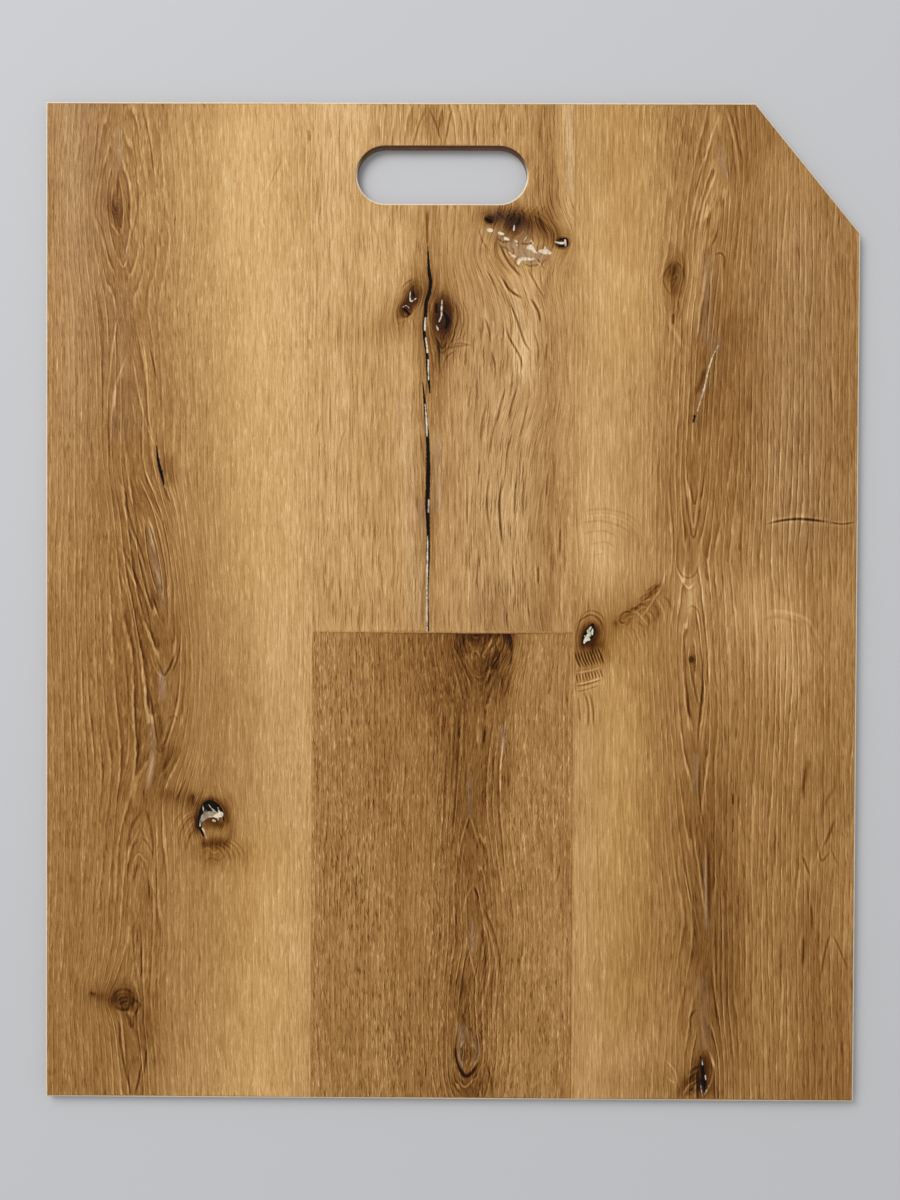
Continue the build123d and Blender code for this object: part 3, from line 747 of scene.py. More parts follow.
RIGHT_PLANK = Decor(
    heart=(
        (724, 104, 24), (722, 150, 18), (717, 200, 10), (710, 260, 4), (704, 320, 3), (698, 400, 4),
        (695, 460, 7), (693, 540, 16), (692, 552, 17), (692, 600, 12), (692, 660, 4), (695, 700, 6),
        (697, 765, 13), (700, 850, 18), (706, 925, 24), (702, 1000, 20), (704, 1070, 10), (704, 1098, 8),
    ),
    knots=(
        Knot((674, 279), (9, 15), -10, 0, -0.07, 0.75),
        Knot((590, 635), (8.5, 11), -20, 0.9, -0.14, 0.85),
        Knot((691.5, 659.5), (2.8, 3.4), 0, 0.75, -0.07, 0.5),
        Knot((703, 1072), (5.5, 14), -8, 0.5, -0.14, 0.7),
    ),
    bends=(),
    lined=(
        Stroke((
            (722, 104), (712, 230), (695, 400), (692, 560), (696, 760), (706, 960), (704, 1098)
        ), 22, (0.6, 0.6, 0.65, 0.85, 1, 1, 0.9)),
        Stroke(((790, 230), (790, 500), (780, 760), (780, 1098)), (44, 50, 40, 40), (0.45, 0.6, 0.4, 0.3)),
        Stroke(((615, 104), (615, 1098)), 30, -0.3),
    ),
    pitted=(
        Stroke(((615, 104), (615, 1098)), 36, -0.3),
    ),
    shades=(
        Stroke((
            (600, 104), (615, 280), (605, 420), (598, 560)
        ), (58, 55, 55, 42), (0.09, 0.16, 0.13, 0.16)),
        Stroke((
            (605, 690), (608, 760), (600, 870), (602, 1098)
        ), (40, 45, 55, 62), (0.1, 0.15, 0.11, 0.11)),
        Stroke(((740, 104), (740, 170)), 18, -0.06),
        Stroke(((722, 230), (715, 330), (700, 410)), (18, 24, 16), (-0.05, -0.05, -0.1)),
        Stroke(((735, 330), (735, 490)), 22, -0.06),
        Stroke(((694, 430), (688, 540)), 14, -0.05),
        Stroke(((716, 185), (705, 240), (692, 315)), 9, 0.06),
        Stroke(((700, 590), (780, 620), (790, 660)), (30, 40, 34), (0.05, 0.08, 0.08)),
        Stroke((
            (694, 670), (697, 740), (704, 820), (712, 900), (712, 960), (720, 1030), (722, 1098)
        ), (10, 14, 26, 32, 30, 30, 20), (-0.06, -0.08, -0.12, -0.12, -0.14, -0.1, -0.06)),
        Stroke(((806, 900), (812, 980), (806, 1098)), 12, -0.06),
        Stroke(((840, 960), (838, 1098)), 10, -0.06),
        Stroke(((780, 120), (790, 230)), 26, 0.03),
        Stroke(((835, 560), (835, 660)), 14, 0.04),
        Stroke(((658, 592), (642, 610), (620, 624)), (10, 14, 10), -0.05),
        Stroke(((660, 585), (652, 591), (642, 601)), (4, 6, 4), -0.1),
        Stroke(((644, 605), (636, 608), (628, 612)), (4, 5, 4), -0.08),
        Stroke(((628, 616), (621, 619), (615, 624)), (4, 6, 3), -0.08),
        Stroke(((654, 604), (657, 613), (656, 620)), (5, 6, 4), -0.06),
        Stroke(((669, 601), (671, 608)), 4, -0.06),
        Stroke(((616, 623.5), (617, 625.5)), 1.8, -0.14),
        Stroke(((687, 546), (688, 570)), 6, -0.07),
        Stroke(((689, 584), (691, 610)), 4, 0.06),
        Stroke(((708, 255), (704, 320)), 6, -0.05),
        Stroke(((696, 200), (692, 260), (686, 320)), 5, 0.03),
        Stroke(((808, 762), (806, 780), (803, 797)), (2.5, 3.4, 2), -0.11),
        Stroke(((704, 880), (706, 925)), (1.4, 2.2), 0.07),
        Stroke(((702, 1060), (704, 1090)), 6, -0.1),
        Stroke(((578, 658), (599, 656)), 9, -0.1),
        Stroke(((577, 676), (600, 672)), 6, -0.05),
        Stroke(((600, 640), (604, 656)), 10, -0.03),
        Stroke(((690, 1085), (700, 1085)), 10, -0.12),
        Stroke(((667, 275), (676, 266)), 3.6, -0.1),
        Stroke(((680, 272), (680, 294)), 2.6, -0.06),
        Stroke(((673, 282), (675, 293)), 2, -0.04),
        Stroke(((673, 268), (675, 292)), 8, -0.07),
        Stroke(((688, 1080), (680, 1096)), 4, -0.07),
        Stroke(((697, 1064), (696, 1080)), 5, -0.1),
        Stroke(((583, 645), (600, 645)), 5, -0.14),
        Stroke(((615, 800), (612, 900), (625, 1000)), (28, 28, 36), -0.045),
        Stroke(((610, 1085), (690, 1088)), 22, -0.06),
        Stroke(((610, 170), (620, 240)), 26, -0.035),
        Stroke(((665, 440), (668, 510)), 12, -0.04),
        Stroke(((765, 120), (790, 150)), 14, -0.04),
        Stroke(((720, 740), (735, 800)), 14, -0.04),
        Stroke(((578, 700), (580, 780)), 10, 0.05),
        Stroke(((845, 600), (848, 750)), 16, 0.04),
        Stroke(((770, 600), (800, 740)), 36, 0.025),
        Stroke(((673, 250), (674, 310)), 8, -0.06),
        Stroke(((860, 400), (800, 1098)), 40, -0.02),
    ),
    lines=(
        Stroke(((723.5, 105), (716, 124), (710, 143), (697, 193), (688, 240)), 0.9, 0.12),
        Stroke(((724, 105), (731, 126), (737, 155), (740, 190)), 0.9, 0.12),
        Stroke(((727, 104), (735, 128), (741, 160)), 0.9, -0.11),
        Stroke(((720, 160), (714, 178), (704, 205), (698, 240)), 1, 0.12),
        Stroke(((727, 168), (728, 184), (726, 200)), 0.9, 0.1),
        Stroke(((718, 188), (709, 215), (701, 250)), 0.8, -0.08),
        Stroke(((719, 226), (716, 236), (712, 246)), 1, -0.14),
        Stroke(((714, 256), (720, 253), (724, 257), (724, 270)), 0.9, -0.14),
        Stroke(((718, 260), (721, 262), (722, 280), (722, 300)), 0.8, 0.1),
        Stroke(((675, 260), (668, 268), (663, 278), (667, 290), (673, 297)), 1, -0.08),
        Stroke(((675, 260), (682, 268), (684, 280)), 1, -0.06),
        Stroke(((672, 279), (677, 274), (679, 278)), 0.8, 0.06),
        Stroke(((671, 285), (675, 279)), 0.8, 0.05),
        Stroke(((678, 300), (679, 312)), 1, -0.09),
        Stroke(((686, 200), (685, 250), (684, 300)), 0.9, -0.08),
        Stroke(((712, 200), (706, 250), (698, 310)), 0.9, -0.07),
        Stroke(((709, 196), (702, 250), (694, 310)), 0.8, 0.06),
        Stroke(((700, 1066), (694, 1069), (688, 1075)), 1.6, -0.1),
        Stroke(((699, 1072), (693, 1075), (688, 1081)), 1.4, -0.09),
        Stroke(((683, 1096), (688, 1086), (694, 1082), (699, 1077)), 0.9, 0.12),
        Stroke(((688, 1093), (693, 1091), (697, 1083)), 0.8, 0.1),
        Stroke(((686, 1097), (690, 1091), (696, 1089)), 2.2, -0.1),
        Stroke(((709, 1050), (711, 1058), (711.5, 1066)), 0.8, 0.09),
        Stroke(((673.5, 312), (673, 326)), 1.4, -0.2),
        Stroke(((668.5, 322), (677, 336), (687, 353)), 2, 0.06),
        Stroke(((705, 366), (701, 382), (696, 396)), 2.4, -0.12),
        Stroke(((683, 437), (685, 486), (693.5, 538), (703, 486), (708, 437)), 0.9, -0.12),
        Stroke(((687, 437), (689, 486), (693.5, 528), (699, 486), (703, 440)), 0.8, 0.1),
        Stroke(((690, 482), (694.5, 504), (699, 484)), 0.9, -0.1),
        Stroke(((676.5, 552), (679, 571), (688, 578), (696.5, 572), (701, 552)), 1, -0.08),
        Stroke(((676, 566), (682, 580), (689, 588), (697, 580)), 0.9, 0.12),
        Stroke(((686, 612), (692, 606), (699, 614), (702, 640)), 0.8, -0.1),
        Stroke(((684, 620), (685, 660), (688, 700), (693, 750)), 0.9, -0.1),
        Stroke(((702, 640), (703, 680), (700, 712), (696, 760)), 1, -0.14),
        Stroke(((708, 610), (710, 660), (705, 720), (699, 765)), 0.8, 0.09),
        Stroke(((691, 668), (695, 690), (700, 711)), 1, -0.1),
        # A dark check across the grain
        Stroke((
            (762, 525.5), (779, 521), (801, 519), (833, 522.5)
        ), (0.8, 1.1, 1.3, 1), (-0.18, -0.26, -0.26, -0.22)),
        Stroke(((828, 522), (842, 524), (856, 522)), 0.8, -0.16),
        # The scar beside the knot: its pale veins, then its dark ones
        Stroke(((668, 564), (664, 579), (660, 590), (655, 597), (647, 610), (637, 622)), 0.9, 0.1),
        Stroke(((655, 597), (661, 606), (664, 614), (664, 626)), 0.9, 0.09),
        Stroke(((653, 599.5), (647, 600), (641, 604)), 0.8, 0.09),
        Stroke(((648, 608), (643, 607), (638, 611)), 0.8, 0.08),
        Stroke(((629, 613.5), (636, 612), (642, 618), (649, 627)), 0.9, 0.09),
        Stroke(((646, 611), (652, 617), (654, 626)), 0.8, 0.07),
        Stroke(((634, 616), (628, 617.5), (625, 622)), 0.8, 0.08),
        Stroke(((640, 624), (646, 634), (649, 646)), 0.9, 0.06),
        Stroke(((633, 630), (639, 638), (642, 650)), 0.8, 0.06),
        Stroke(((626, 628), (631, 637), (634, 648)), 0.8, 0.05),
        Stroke(((661, 584), (654, 589), (647, 596)), 1.2, -0.12),
        Stroke(((657, 583.5), (651, 588), (645, 593)), 1, -0.09),
        Stroke(((659, 589), (651, 595), (642, 602)), 1.1, -0.1),
        Stroke(((650, 592), (644, 596), (638, 600)), 1, -0.07),
        Stroke(((645, 604), (640, 604.5), (636, 608), (634, 612)), 1, -0.11),
        Stroke(((640, 609), (634, 608), (629, 611)), 1, -0.1),
        Stroke(((633, 613), (627, 611.5), (622, 614), (619, 619)), 1, -0.11),
        Stroke(((627, 622), (622, 623), (619.5, 620), (622, 616.5)), 0.9, -0.12),
        Stroke(((624, 626), (629, 623), (631, 618)), 0.9, -0.07),
        Stroke(((655, 604), (658, 611), (658, 619)), 1.4, -0.08),
        Stroke(((650, 609), (653, 617), (652, 625)), 1.3, -0.07),
        Stroke(((644, 613), (649, 620), (650, 628)), 1.2, -0.07),
        Stroke(((637, 620), (643, 628), (646, 640)), 1.2, -0.07),
        Stroke(((630, 626), (636, 634), (638, 645)), 1.1, -0.06),
        Stroke(((664, 596), (669, 602), (671, 609)), 1.2, -0.06),
        Stroke(((575, 628), (582, 619), (592, 615), (601, 622), (604, 634)), 1, -0.12),
        Stroke(((577, 622), (588, 611), (600, 614), (607, 624)), 0.8, -0.08),
        Stroke(((761, 615), (779, 611), (808, 620), (816, 640), (824, 660)), 1.7, 0.045),
        Stroke(((760, 621), (779, 617), (806, 626)), 1.6, -0.035),
        Stroke(((809, 624), (818, 645), (826, 662)), 1.4, -0.06),
        Stroke(((576, 524), (600, 521), (622, 527), (635, 538)), 1.2, -0.04),
        Stroke(((580, 534), (604, 531), (620, 539)), 1.2, -0.035),
        Stroke(((576, 512), (605, 509), (630, 516), (644, 530)), 1.2, -0.03),
        Stroke(((580, 518), (604, 515), (626, 521), (639, 533)), 1, 0.03),
        Stroke(((588, 545), (606, 542), (618, 550)), 1.2, -0.03),
        Stroke(((590, 556), (606, 553)), 1.2, -0.025),
        # Cross hatching under the knot
        *row_of(Stroke(((575, 651), (577, 660), (582, 669)), 0.9, -0.22),
                Stroke(((597, 647), (601, 656), (604, 665)), 0.9, -0.22), 9),
        *row_of(Stroke(((576, 674), (578, 683)), 0.8, -0.16),
                Stroke(((600, 669), (603, 678)), 0.8, -0.16), 9),
        Stroke(((575, 673), (588, 671), (602, 667)), 0.8, 0.1),
        Stroke(((575, 684.5), (588, 682), (603, 677)), 0.7, 0.1),
        Stroke(((575, 686.5), (588, 684), (603, 679.5)), 0.8, -0.13),
        Stroke(((575, 692), (585, 690), (600, 685)), 0.7, -0.1),
        Stroke(((584, 690), (588, 706), (588, 730)), 1.1, -0.16),
        Stroke(((590, 690), (593, 712), (593, 728)), 1.1, -0.14),
        Stroke(((578, 694), (580, 724)), 1, -0.13),
        Stroke(((680, 842), (688, 900), (700, 955)), 0.9, -0.07),
        Stroke(((684, 840), (690, 887), (702, 947)), 0.9, 0.08),
        Stroke(((677, 842), (680, 880), (685, 915)), 0.8, 0.06),
        Stroke(((693, 828), (699, 872), (706, 922)), 1, 0.11),
        Stroke(((705.4, 832), (705.8, 880), (706.4, 920)), 0.9, 0.1),
        Stroke(((708.6, 832), (709, 880), (709.6, 940)), 1.5, -0.09),
        Stroke(((700, 850), (703.4, 890)), 1.2, -0.07),
        Stroke(((700, 760), (699, 790), (704, 830)), 0.9, -0.13),
        Stroke(((708, 760), (703, 800), (701, 830)), 0.9, 0.12),
        Stroke(((724, 862), (723, 914), (724, 1000), (724, 1090)), 0.9, 0.08),
        Stroke(((719, 880), (719, 935), (718, 1000)), 0.8, 0.06),
        Stroke(((714, 900), (716, 960), (716, 1040)), 0.9, -0.08),
        Stroke(((733, 792), (733, 806)), 1.3, -0.11),
        Stroke(((733, 817), (733, 834)), 1.2, -0.11),
        Stroke(((743, 862), (745, 880)), 1.1, -0.11),
        Stroke(((737, 894), (738, 906)), 1.2, -0.09),
        Stroke(((748, 900), (749, 926)), 1.1, -0.11),
        Stroke(((831, 931), (825, 952), (820, 980)), 1, -0.13),
        Stroke(((831, 931), (840, 950), (849, 972)), 0.9, -0.1),
        Stroke(((802, 855), (807, 868), (809.5, 876)), 1.1, -0.16),
        Stroke(((807, 876), (808, 904)), 0.8, -0.09),
        Stroke(((811, 903), (813, 932)), 1.3, -0.12),
        Stroke(((804, 934), (802.5, 966)), 1.6, -0.13),
        Stroke(((837, 784), (828, 798), (823, 808), (820, 824)), 1.8, -0.06),
        Stroke(((835.6, 817), (830, 832), (823.5, 848)), 1.5, -0.12),
        Stroke(((818, 843), (821, 860), (826, 857), (831, 849)), 0.9, -0.1),
        Stroke(((831, 849), (838, 865)), 0.9, -0.09),
        Stroke(((814, 868), (819, 852), (828, 832)), 0.8, 0.05),
        Stroke(((806, 765), (804, 780), (802, 796)), 1.5, -0.12),
        Stroke(((697, 1008), (690, 1018), (692, 1030)), 1, -0.1),
        Stroke(((665, 1059), (671, 1066), (676, 1074), (678, 1087)), 0.9, 0.09),
        Stroke(((666, 1075), (671, 1081), (677, 1083)), 0.9, 0.06),
        Stroke(((652, 1072), (649, 1084)), 0.9, 0.05),
        Stroke(((712, 1055), (713, 1075), (706, 1095)), 1, 0.12),
    ),
    washed=(
        Stroke(((625, 104), (625, 330)), 30, -0.05),
        Stroke(((625, 640), (625, 1000)), 36, -0.065),
        Stroke(((800, 250), (800, 520)), 44, 0.09),
        Stroke(((721, 150), (722, 163), (727, 178)), (3, 4, 2), 0.25),
        Stroke(((708, 262), (706, 320)), 6, 0.15),
        Stroke(((703, 330), (716, 345)), 8, 0.15),
        Stroke(((689, 584), (690, 600)), 3, 0.1),
        Stroke(((696, 755), (696, 790)), 2, 0.3),
        Stroke(((704, 860), (707, 928)), (1.6, 2.6), 0.26),
        Stroke(((702, 980), (706, 1045)), 5, 0.15),
    ),
    cracks=(
        Stroke(((694.8, 416), (693.5, 422)), (1.2, 0.7), 0.8),
        Stroke(((592.5, 625), (591, 631), (587.5, 637), (584, 643)), (1.8, 5, 5, 2.4), 1),
        Stroke((
            (700, 1056), (702.5, 1064), (703, 1073), (705, 1083), (704.5, 1091)
        ), (0.3, 1.2, 1.7, 1.6, 0.5), 1),
    ),
    fillers=(
        Stroke((
            (718.5, 345), (713, 356), (708.5, 370), (704.5, 387), (701, 399), (697.5, 411)
        ), (0.3, 0.6, 0.7, 0.8, 0.8, 0.4), 0.85),
        Stroke(((591, 627), (588.5, 631), (589.5, 634), (587, 638), (584, 643)), (0.8, 1.5, 2, 2.2, 1), 1),
        Stroke(((592.6, 629.5), (592, 634)), (0.6, 1.2), 1),
        Stroke(((584.5, 636), (589, 639.5)), (0.6, 1.2), 1),
        Stroke(((702.2, 1060), (702.6, 1065)), (0.3, 0.6), 0.9),
        Stroke(((705.3, 1075.5), (705.8, 1080)), (0.7, 0.5), 1),
        Stroke(((700.5, 1084), (702.4, 1096)), (0.2, 0.5), 0.7),
        Stroke(((709.5, 1084), (704.4, 1095)), (0.2, 0.5), 0.7),
    ),
)

PLANKS = {
    "left_plank": Finish(
        slot="honey_oak_vinyl", decor=on_board(LEFT_PLANK), tone=0.499, spacing=4.2, rings=0.5,
        streaks=0.75, pores=0.55, pore_length=8.0, flecks=1.0, fleck_length=9.0, fibre_length=16.0,
        wander=0.9, wave=5.0, seed=3,
    ),
    "upper_centre_plank": Finish(
        slot="knotty_oak_vinyl", decor=on_board(UPPER_CENTRE_PLANK), tone=0.645, spacing=5.0, rings=0.3,
        streaks=1.1, pores=0.8, pore_length=20.0, flecks=0.8, fleck_length=8.0, fibre_length=15.0,
        wander=1.0, wave=4.5, seed=11,
    ),
    "lower_centre_plank": Finish(
        slot="brown_oak_vinyl", decor=on_board(LOWER_CENTRE_PLANK), tone=0.517, spacing=3.6, rings=0.6,
        streaks=1.1, pores=0.85, pore_length=8.0, flecks=1.4, fleck_length=7.0, fibre_length=13.0,
        wander=1.2, wave=4.0, seed=23,
    ),
    "right_plank": Finish(
        slot="amber_oak_vinyl", decor=on_board(RIGHT_PLANK), tone=0.515, spacing=3.9, rings=0.55,
        streaks=0.85, pores=0.6, pore_length=11.0, flecks=0.85, fleck_length=11.0, fibre_length=22.0,
        wander=1.1, wave=7.0, seed=37,
    ),
}

# How far a knot pushes the grain, in knot sizes, and how far a heart sways it and rings curl round an eye
PUSH_REACH = 1.5
SWAY_REACH = 32.0
EYE_REACH = 12.0

# Slow changes: the width and length of their blots, their sizes, and what they add to a plank's seed
DRIFTS = (((26.0, 95.0), 1.1), ((9.0, 34.0), 0.35))
BLOTS = (((16.0, 130.0), 0.022), ((6.0, 26.0), 0.014))
FIGURE_CELL, FIGURE_CHANGE = (18.0, 50.0), 0.35
BLOT_SEED, FIGURE_SEED = 50, 90

# How far a soft stroke reaches, in its widths, and the share of a line over which each end fades
STROKE_REACH = 3.4
LINE_TAPER = 0.25

# How far a knot's halo and its dark wood reach, in knot sizes
HALO_REACH = 1.9
DARK_REACH = 1.6

# How far out from the edge of a crack or of filler the print knows of it
SPLIT_REACH = 2.0

# The hand slot, whose upper wall is painted brown from just below its middle: painted shade, where the wall
# faces down and away from the light
SLOT_MOUNT = next(mount for mount in frame["record"]["mounts"] if mount["name"] == "hand_slot")
SLOT_PLACE = tuple(place / MM for place in SLOT_MOUNT["pos_m"][:2])
SLOT_REACH = 70.0
SLOT_SHADE_START, SLOT_SHADE_END = -6.0, 14.0

# The face's mesh: a fine lattice near marks, and every third and sixth line of it elsewhere
COARSE_ACROSS, COARSE_ALONG = 3, 6
MARK_MARGIN = 0.75
KNOT_MARGIN = 1.7
RIM_GAP = 0.3
CURVE_STEPS = 6
SAME_PLACE = 0.001

# Below this much under the face a plank's edge is bare core, and sharper edges than this stay crisp
CORE_DROP = 0.4
SHARP_ANGLE = math.radians(25)

# Each drawn line has a soft flank of the other tone on both sides
FLANK = 0.3
FLANK_PLACE, FLANK_WIDTH = 1.9, 0.8

# Cells in a metre of the core's specks and cutter marks, and of the carrier's mat and fibres
SPECK = 1400
DRAG, DRAG_UP = 220, 2600
MAT, MAT_UP = 90, 500
FIBRE_THIN, FIBRE_LONG, FIBRE_UP = 700, 260, 1500

# The bake's map: the face fills the square above a narrow strip, which holds the cut edges and the back
EDGE_STRIP = 0.06
EDGE_ROW = 0.008
BACK_STRIP = 0.024
ROW_SHARE = 0.8
FACING_DOWN = -0.5


def linear(red, green, blue):
    """The linear colour of a colour written as a screen shows it, from 0 to 255."""
    shares = (channel / 255 for channel in (red, green, blue))
    return tuple(s / 12.92 if s < 0.04045 else ((s + 0.055) / 1.055) ** 2.4 for s in shares)


def length_property(name, description, millimetres):
    """A property that holds a length."""
    return FloatProperty(name=name, description=description, default=millimetres * MM, unit="LENGTH")


def number_property(name, description, default):
    """A property that holds a plain number."""
    return FloatProperty(name=name, description=description, default=default)


def colour_property(name, description, *screen):
    """A property that holds a colour, which is written as a screen shows it."""
    return FloatVectorProperty(name=name, description=description, default=linear(*screen), subtype="COLOR")


class FaceSizes(bpy.types.PropertyGroup):
    """The mesh and the embossing of the plank faces."""

    lattice: length_property("Lattice", "Step of the finest mesh", 0.45)
    relief: length_property("Relief", "Depth of the embossed grain", 0.05)
    crack_depth: length_property("Crack depth", "Depth of an open crack", 0.35)
    knot_depth: length_property("Knot depth", "How far a knot is sunk", 0.12)
    relief_width: number_property("Relief width", "Millimetres across an embossed band", 3.0)
    relief_length: number_property("Relief length", "Millimetres along an embossed band", 40.0)
    seed: IntProperty(name="Seed", description="Seed of the embossing", default=5)


class GrainStrengths(bpy.types.PropertyGroup):
    """How much each kind of grain changes the tone of the print."""

    pale_ring: number_property("Pale rings", "Pale line at the end of a ring", 0.12)
    dark_ring: number_property("Dark rings", "Dark wood before that line", 0.1)
    curl: number_property("Curls", "Rings that curl round a knot", 0.045)
    streak: number_property("Streaks", "Broad streaks along the grain", 0.22)
    fibre: number_property("Fibres", "Fine fibres along the grain", 0.24)
    pore: number_property("Pores", "Dark open pores", 0.15)
    fleck: number_property("Flecks", "Pale flecks", 0.1)
    dust: number_property("Dust", "Finest mottle, which follows no grain", 0.11)


class OakColours(bpy.types.PropertyGroup):
    """The colours of the print, the vinyl's core and the carrier."""

    shade: colour_property("Shade", "Darkest tone of the print", 30, 17, 9)
    umber: colour_property("Umber", "Brown of knots and pores", 77, 40, 9)
    brown: colour_property("Brown", "Brown heartwood", 110, 69, 26)
    tan: colour_property("Tan", "Middle tone", 143, 99, 49)
    honey: colour_property("Honey", "Light tone", 173, 129, 76)
    straw: colour_property("Straw", "Pale tone", 205, 162, 105)
    cream: colour_property("Cream", "Palest tone", 233, 197, 144)
    crack: colour_property("Crack", "Bottom of an open crack", 18, 13, 9)
    filler: colour_property("Filler", "Pale filler in knots and cracks", 232, 219, 194)
    core: colour_property("Core", "Cut edge of the vinyl", 240, 226, 200)
    board: colour_property("Board", "Fibreboard of the carrier", 128, 92, 60)


class StudioSettings(bpy.types.PropertyGroup):
    """The floor, the lights and the camera."""

    floor_size: FloatProperty(name="Floor", description="Side of the floor", default=8.0, unit="LENGTH")
    floor_colour: colour_property("Floor colour", "Pale floor", 200, 201, 204)
    world: number_property("World", "Strength of the light from all round", 0.5)
    key_power: FloatProperty(name="Key", description="Power of the soft light at the slot end's left",
                             default=100.0, unit="POWER")
    key_size: FloatProperty(name="Key size", description="Side of the soft light", default=2.4,
                            unit="LENGTH")
    key_place: FloatVectorProperty(name="Key place", description="Where the soft light hangs",
                                   default=(-1.7, 1.9, 3.0), subtype="TRANSLATION")
    lens: FloatProperty(name="Lens", description="Focal length on a 36 mm long side", default=LENS,
                        unit="CAMERA")
    camera_place: FloatVectorProperty(name="Camera place", description="Where the camera stands",
                                      default=CAMERA_PLACE, subtype="TRANSLATION")
    camera_turn: FloatVectorProperty(name="Camera turn", description="How the camera is tilted",
                                     default=CAMERA_TURN, subtype="EULER")


def smooth_through(places, values, at):
    """A smooth curve through values at falling or rising places, read at many places."""
    order = np.argsort(places)
    places, values = np.asarray(places, float)[order], np.asarray(values, float)[order]
    slopes = np.gradient(values, places)
    at = np.clip(at, places[0], places[-1])
    i = np.clip(np.searchsorted(places, at) - 1, 0, len(places) - 2)
    span = places[i + 1] - places[i]
    t = (at - places[i]) / span
    rise = values[i + 1] - values[i]
    leave, arrive = slopes[i] * span, slopes[i + 1] * span
    straight = values[i] + t * leave
    return straight + t**2 * (3 * rise - 2 * leave - arrive) + t**3 * (leave + arrive - 2 * rise)


def smooth_step(low, high, value):
    """A share that goes smoothly from 0 at low to 1 at high."""
    t = np.clip((value - low) / (high - low), 0, 1)
    return t * t * (3 - 2 * t)


def soft_noise(x, y, cell, seed):
    """Smooth seeded variation between -1 and 1, in blots of the given width and length."""
    u, v = (x - x.min()) / cell[0], (y - y.min()) / cell[1]
    table = np.random.default_rng(seed).uniform(-1, 1, (int(v.max()) + 2, int(u.max()) + 2))
    i, j = u.astype(int), v.astype(int)
    s, t = smooth_step(0, 1, u - i), smooth_step(0, 1, v - j)
    lower = table[j, i] * (1 - s) + table[j, i + 1] * s
    upper = table[j + 1, i] * (1 - s) + table[j + 1, i + 1] * s
    return lower * (1 - t) + upper * t


def curved(path):
    """The points of a smooth line through a stroke's hand-picked points."""
    points = np.asarray(path, float)
    if len(points) < 3:
        return points
    stages = np.arange(len(points))
    fine = np.linspace(0, len(points) - 1, (len(points) - 1) * CURVE_STEPS + 1)
    return np.stack([smooth_through(stages, points[:, axis], fine) for axis in (0, 1)], 1)


def from_stroke(stroke, x, y):
    """How far many places are from a stroke, and how far along it the nearest point is, from 0 to 1."""
    points = curved(stroke.path)
    runs = np.hypot(*np.diff(points, axis=0).T)
    passed = np.concatenate([[0], np.cumsum(runs)]) / runs.sum()
    nearest, share = np.full(x.shape, np.inf), np.zeros(x.shape)
    for start, end, before, after in zip(points, points[1:], passed, passed[1:]):
        step = end - start
        t = np.clip(((x - start[0]) * step[0] + (y - start[1]) * step[1]) / (step @ step), 0, 1)
        distance = np.hypot(x - start[0] - t * step[0], y - start[1] - t * step[1])
        closer = distance < nearest
        nearest = np.where(closer, distance, nearest)
        share = np.where(closer, before + t * (after - before), share)
    return nearest, share


def staged(value, share):
    """A stroke's width or amount at each share of its length."""
    stages = np.atleast_1d(value)
    return np.interp(share, np.linspace(0, 1, len(stages)), stages)


def near_box(stroke, x, y, reach):
    """Which places are inside a stroke's box, grown by a reach."""
    points = np.asarray(stroke.path)
    low, high = points.min(0) - reach, points.max(0) + reach
    return np.flatnonzero((x > low[0]) & (x < high[0]) & (y > low[1]) & (y < high[1]))


def painted(strokes, x, y, taper, flank=0.0):
    """The summed amount of soft strokes, which fade across their width and over a share of each end.

    A flank is a share of the amount that turns round on both sides of a stroke and makes it crisp.
    """
    total = np.zeros(x.shape)
    for stroke in strokes:
        reach = STROKE_REACH * np.max(stroke.width)
        chosen = near_box(stroke, x, y, reach)
        distance, share = from_stroke(stroke, x[chosen], y[chosen])
        ends = 1.0
        if taper:
            ends = smooth_step(0, taper, share) * smooth_step(0, taper, 1 - share)
        out = distance / staged(stroke.width, share)
        profile = np.exp(-(out**2)) - flank * np.exp(-(((out - FLANK_PLACE) / FLANK_WIDTH) ** 2))
        total[chosen] += staged(stroke.amount, share) * ends * profile
    return total


def inside_by(strokes, x, y):
    """How far inside the nearest stroke each place is, in millimetres, and that stroke's amount."""
    depth, strength = np.full(x.shape, -SPLIT_REACH), np.zeros(x.shape)
    for stroke in strokes:
        chosen = near_box(stroke, x, y, np.max(stroke.width) + SPLIT_REACH)
        distance, share = from_stroke(stroke, x[chosen], y[chosen])
        inner = staged(stroke.width, share) - distance
        deeper = inner > depth[chosen]
        depth[chosen] = np.where(deeper, inner, depth[chosen])
        strength[chosen] = np.where(deeper, staged(stroke.amount, share), strength[chosen])
    return depth, strength


def from_knot(knot, x, y):
    """How far many places are from a knot's middle, where 1 is its edge."""
    turn = math.radians(knot.lean)
    dx, dy = x - knot.at[0], y - knot.at[1]
    across = dx * math.cos(turn) + dy * math.sin(turn)
    along = dy * math.cos(turn) - dx * math.sin(turn)
    return np.hypot(across / knot.half[0], along / knot.half[1])


def grain_run(finish, x, y):
    """The ring distance from the pith and the way across from the heart."""
    across = x.copy()
    for knot in finish.decor.knots:
        pull = knot.push * np.exp(-((from_knot(knot, x, y) / PUSH_REACH) ** 2))
        across -= (x - knot.at[0]) * pull
    centres, heights, depths = zip(*finish.decor.heart)
    centre = smooth_through(heights, centres, y)
    depth = smooth_through(heights, depths, y)
    across -= painted(finish.decor.bends, x, y, 0)
    middle = np.mean(centres)
    sway = np.exp(-(((across - centre) / SWAY_REACH) ** 2))
    offset = across - middle - (centre - middle) * sway
    ring = np.hypot(offset, depth)
    for number, (cell, size) in enumerate(DRIFTS):
        ring += size * soft_noise(x, y, cell, finish.seed + number)
    return ring, offset


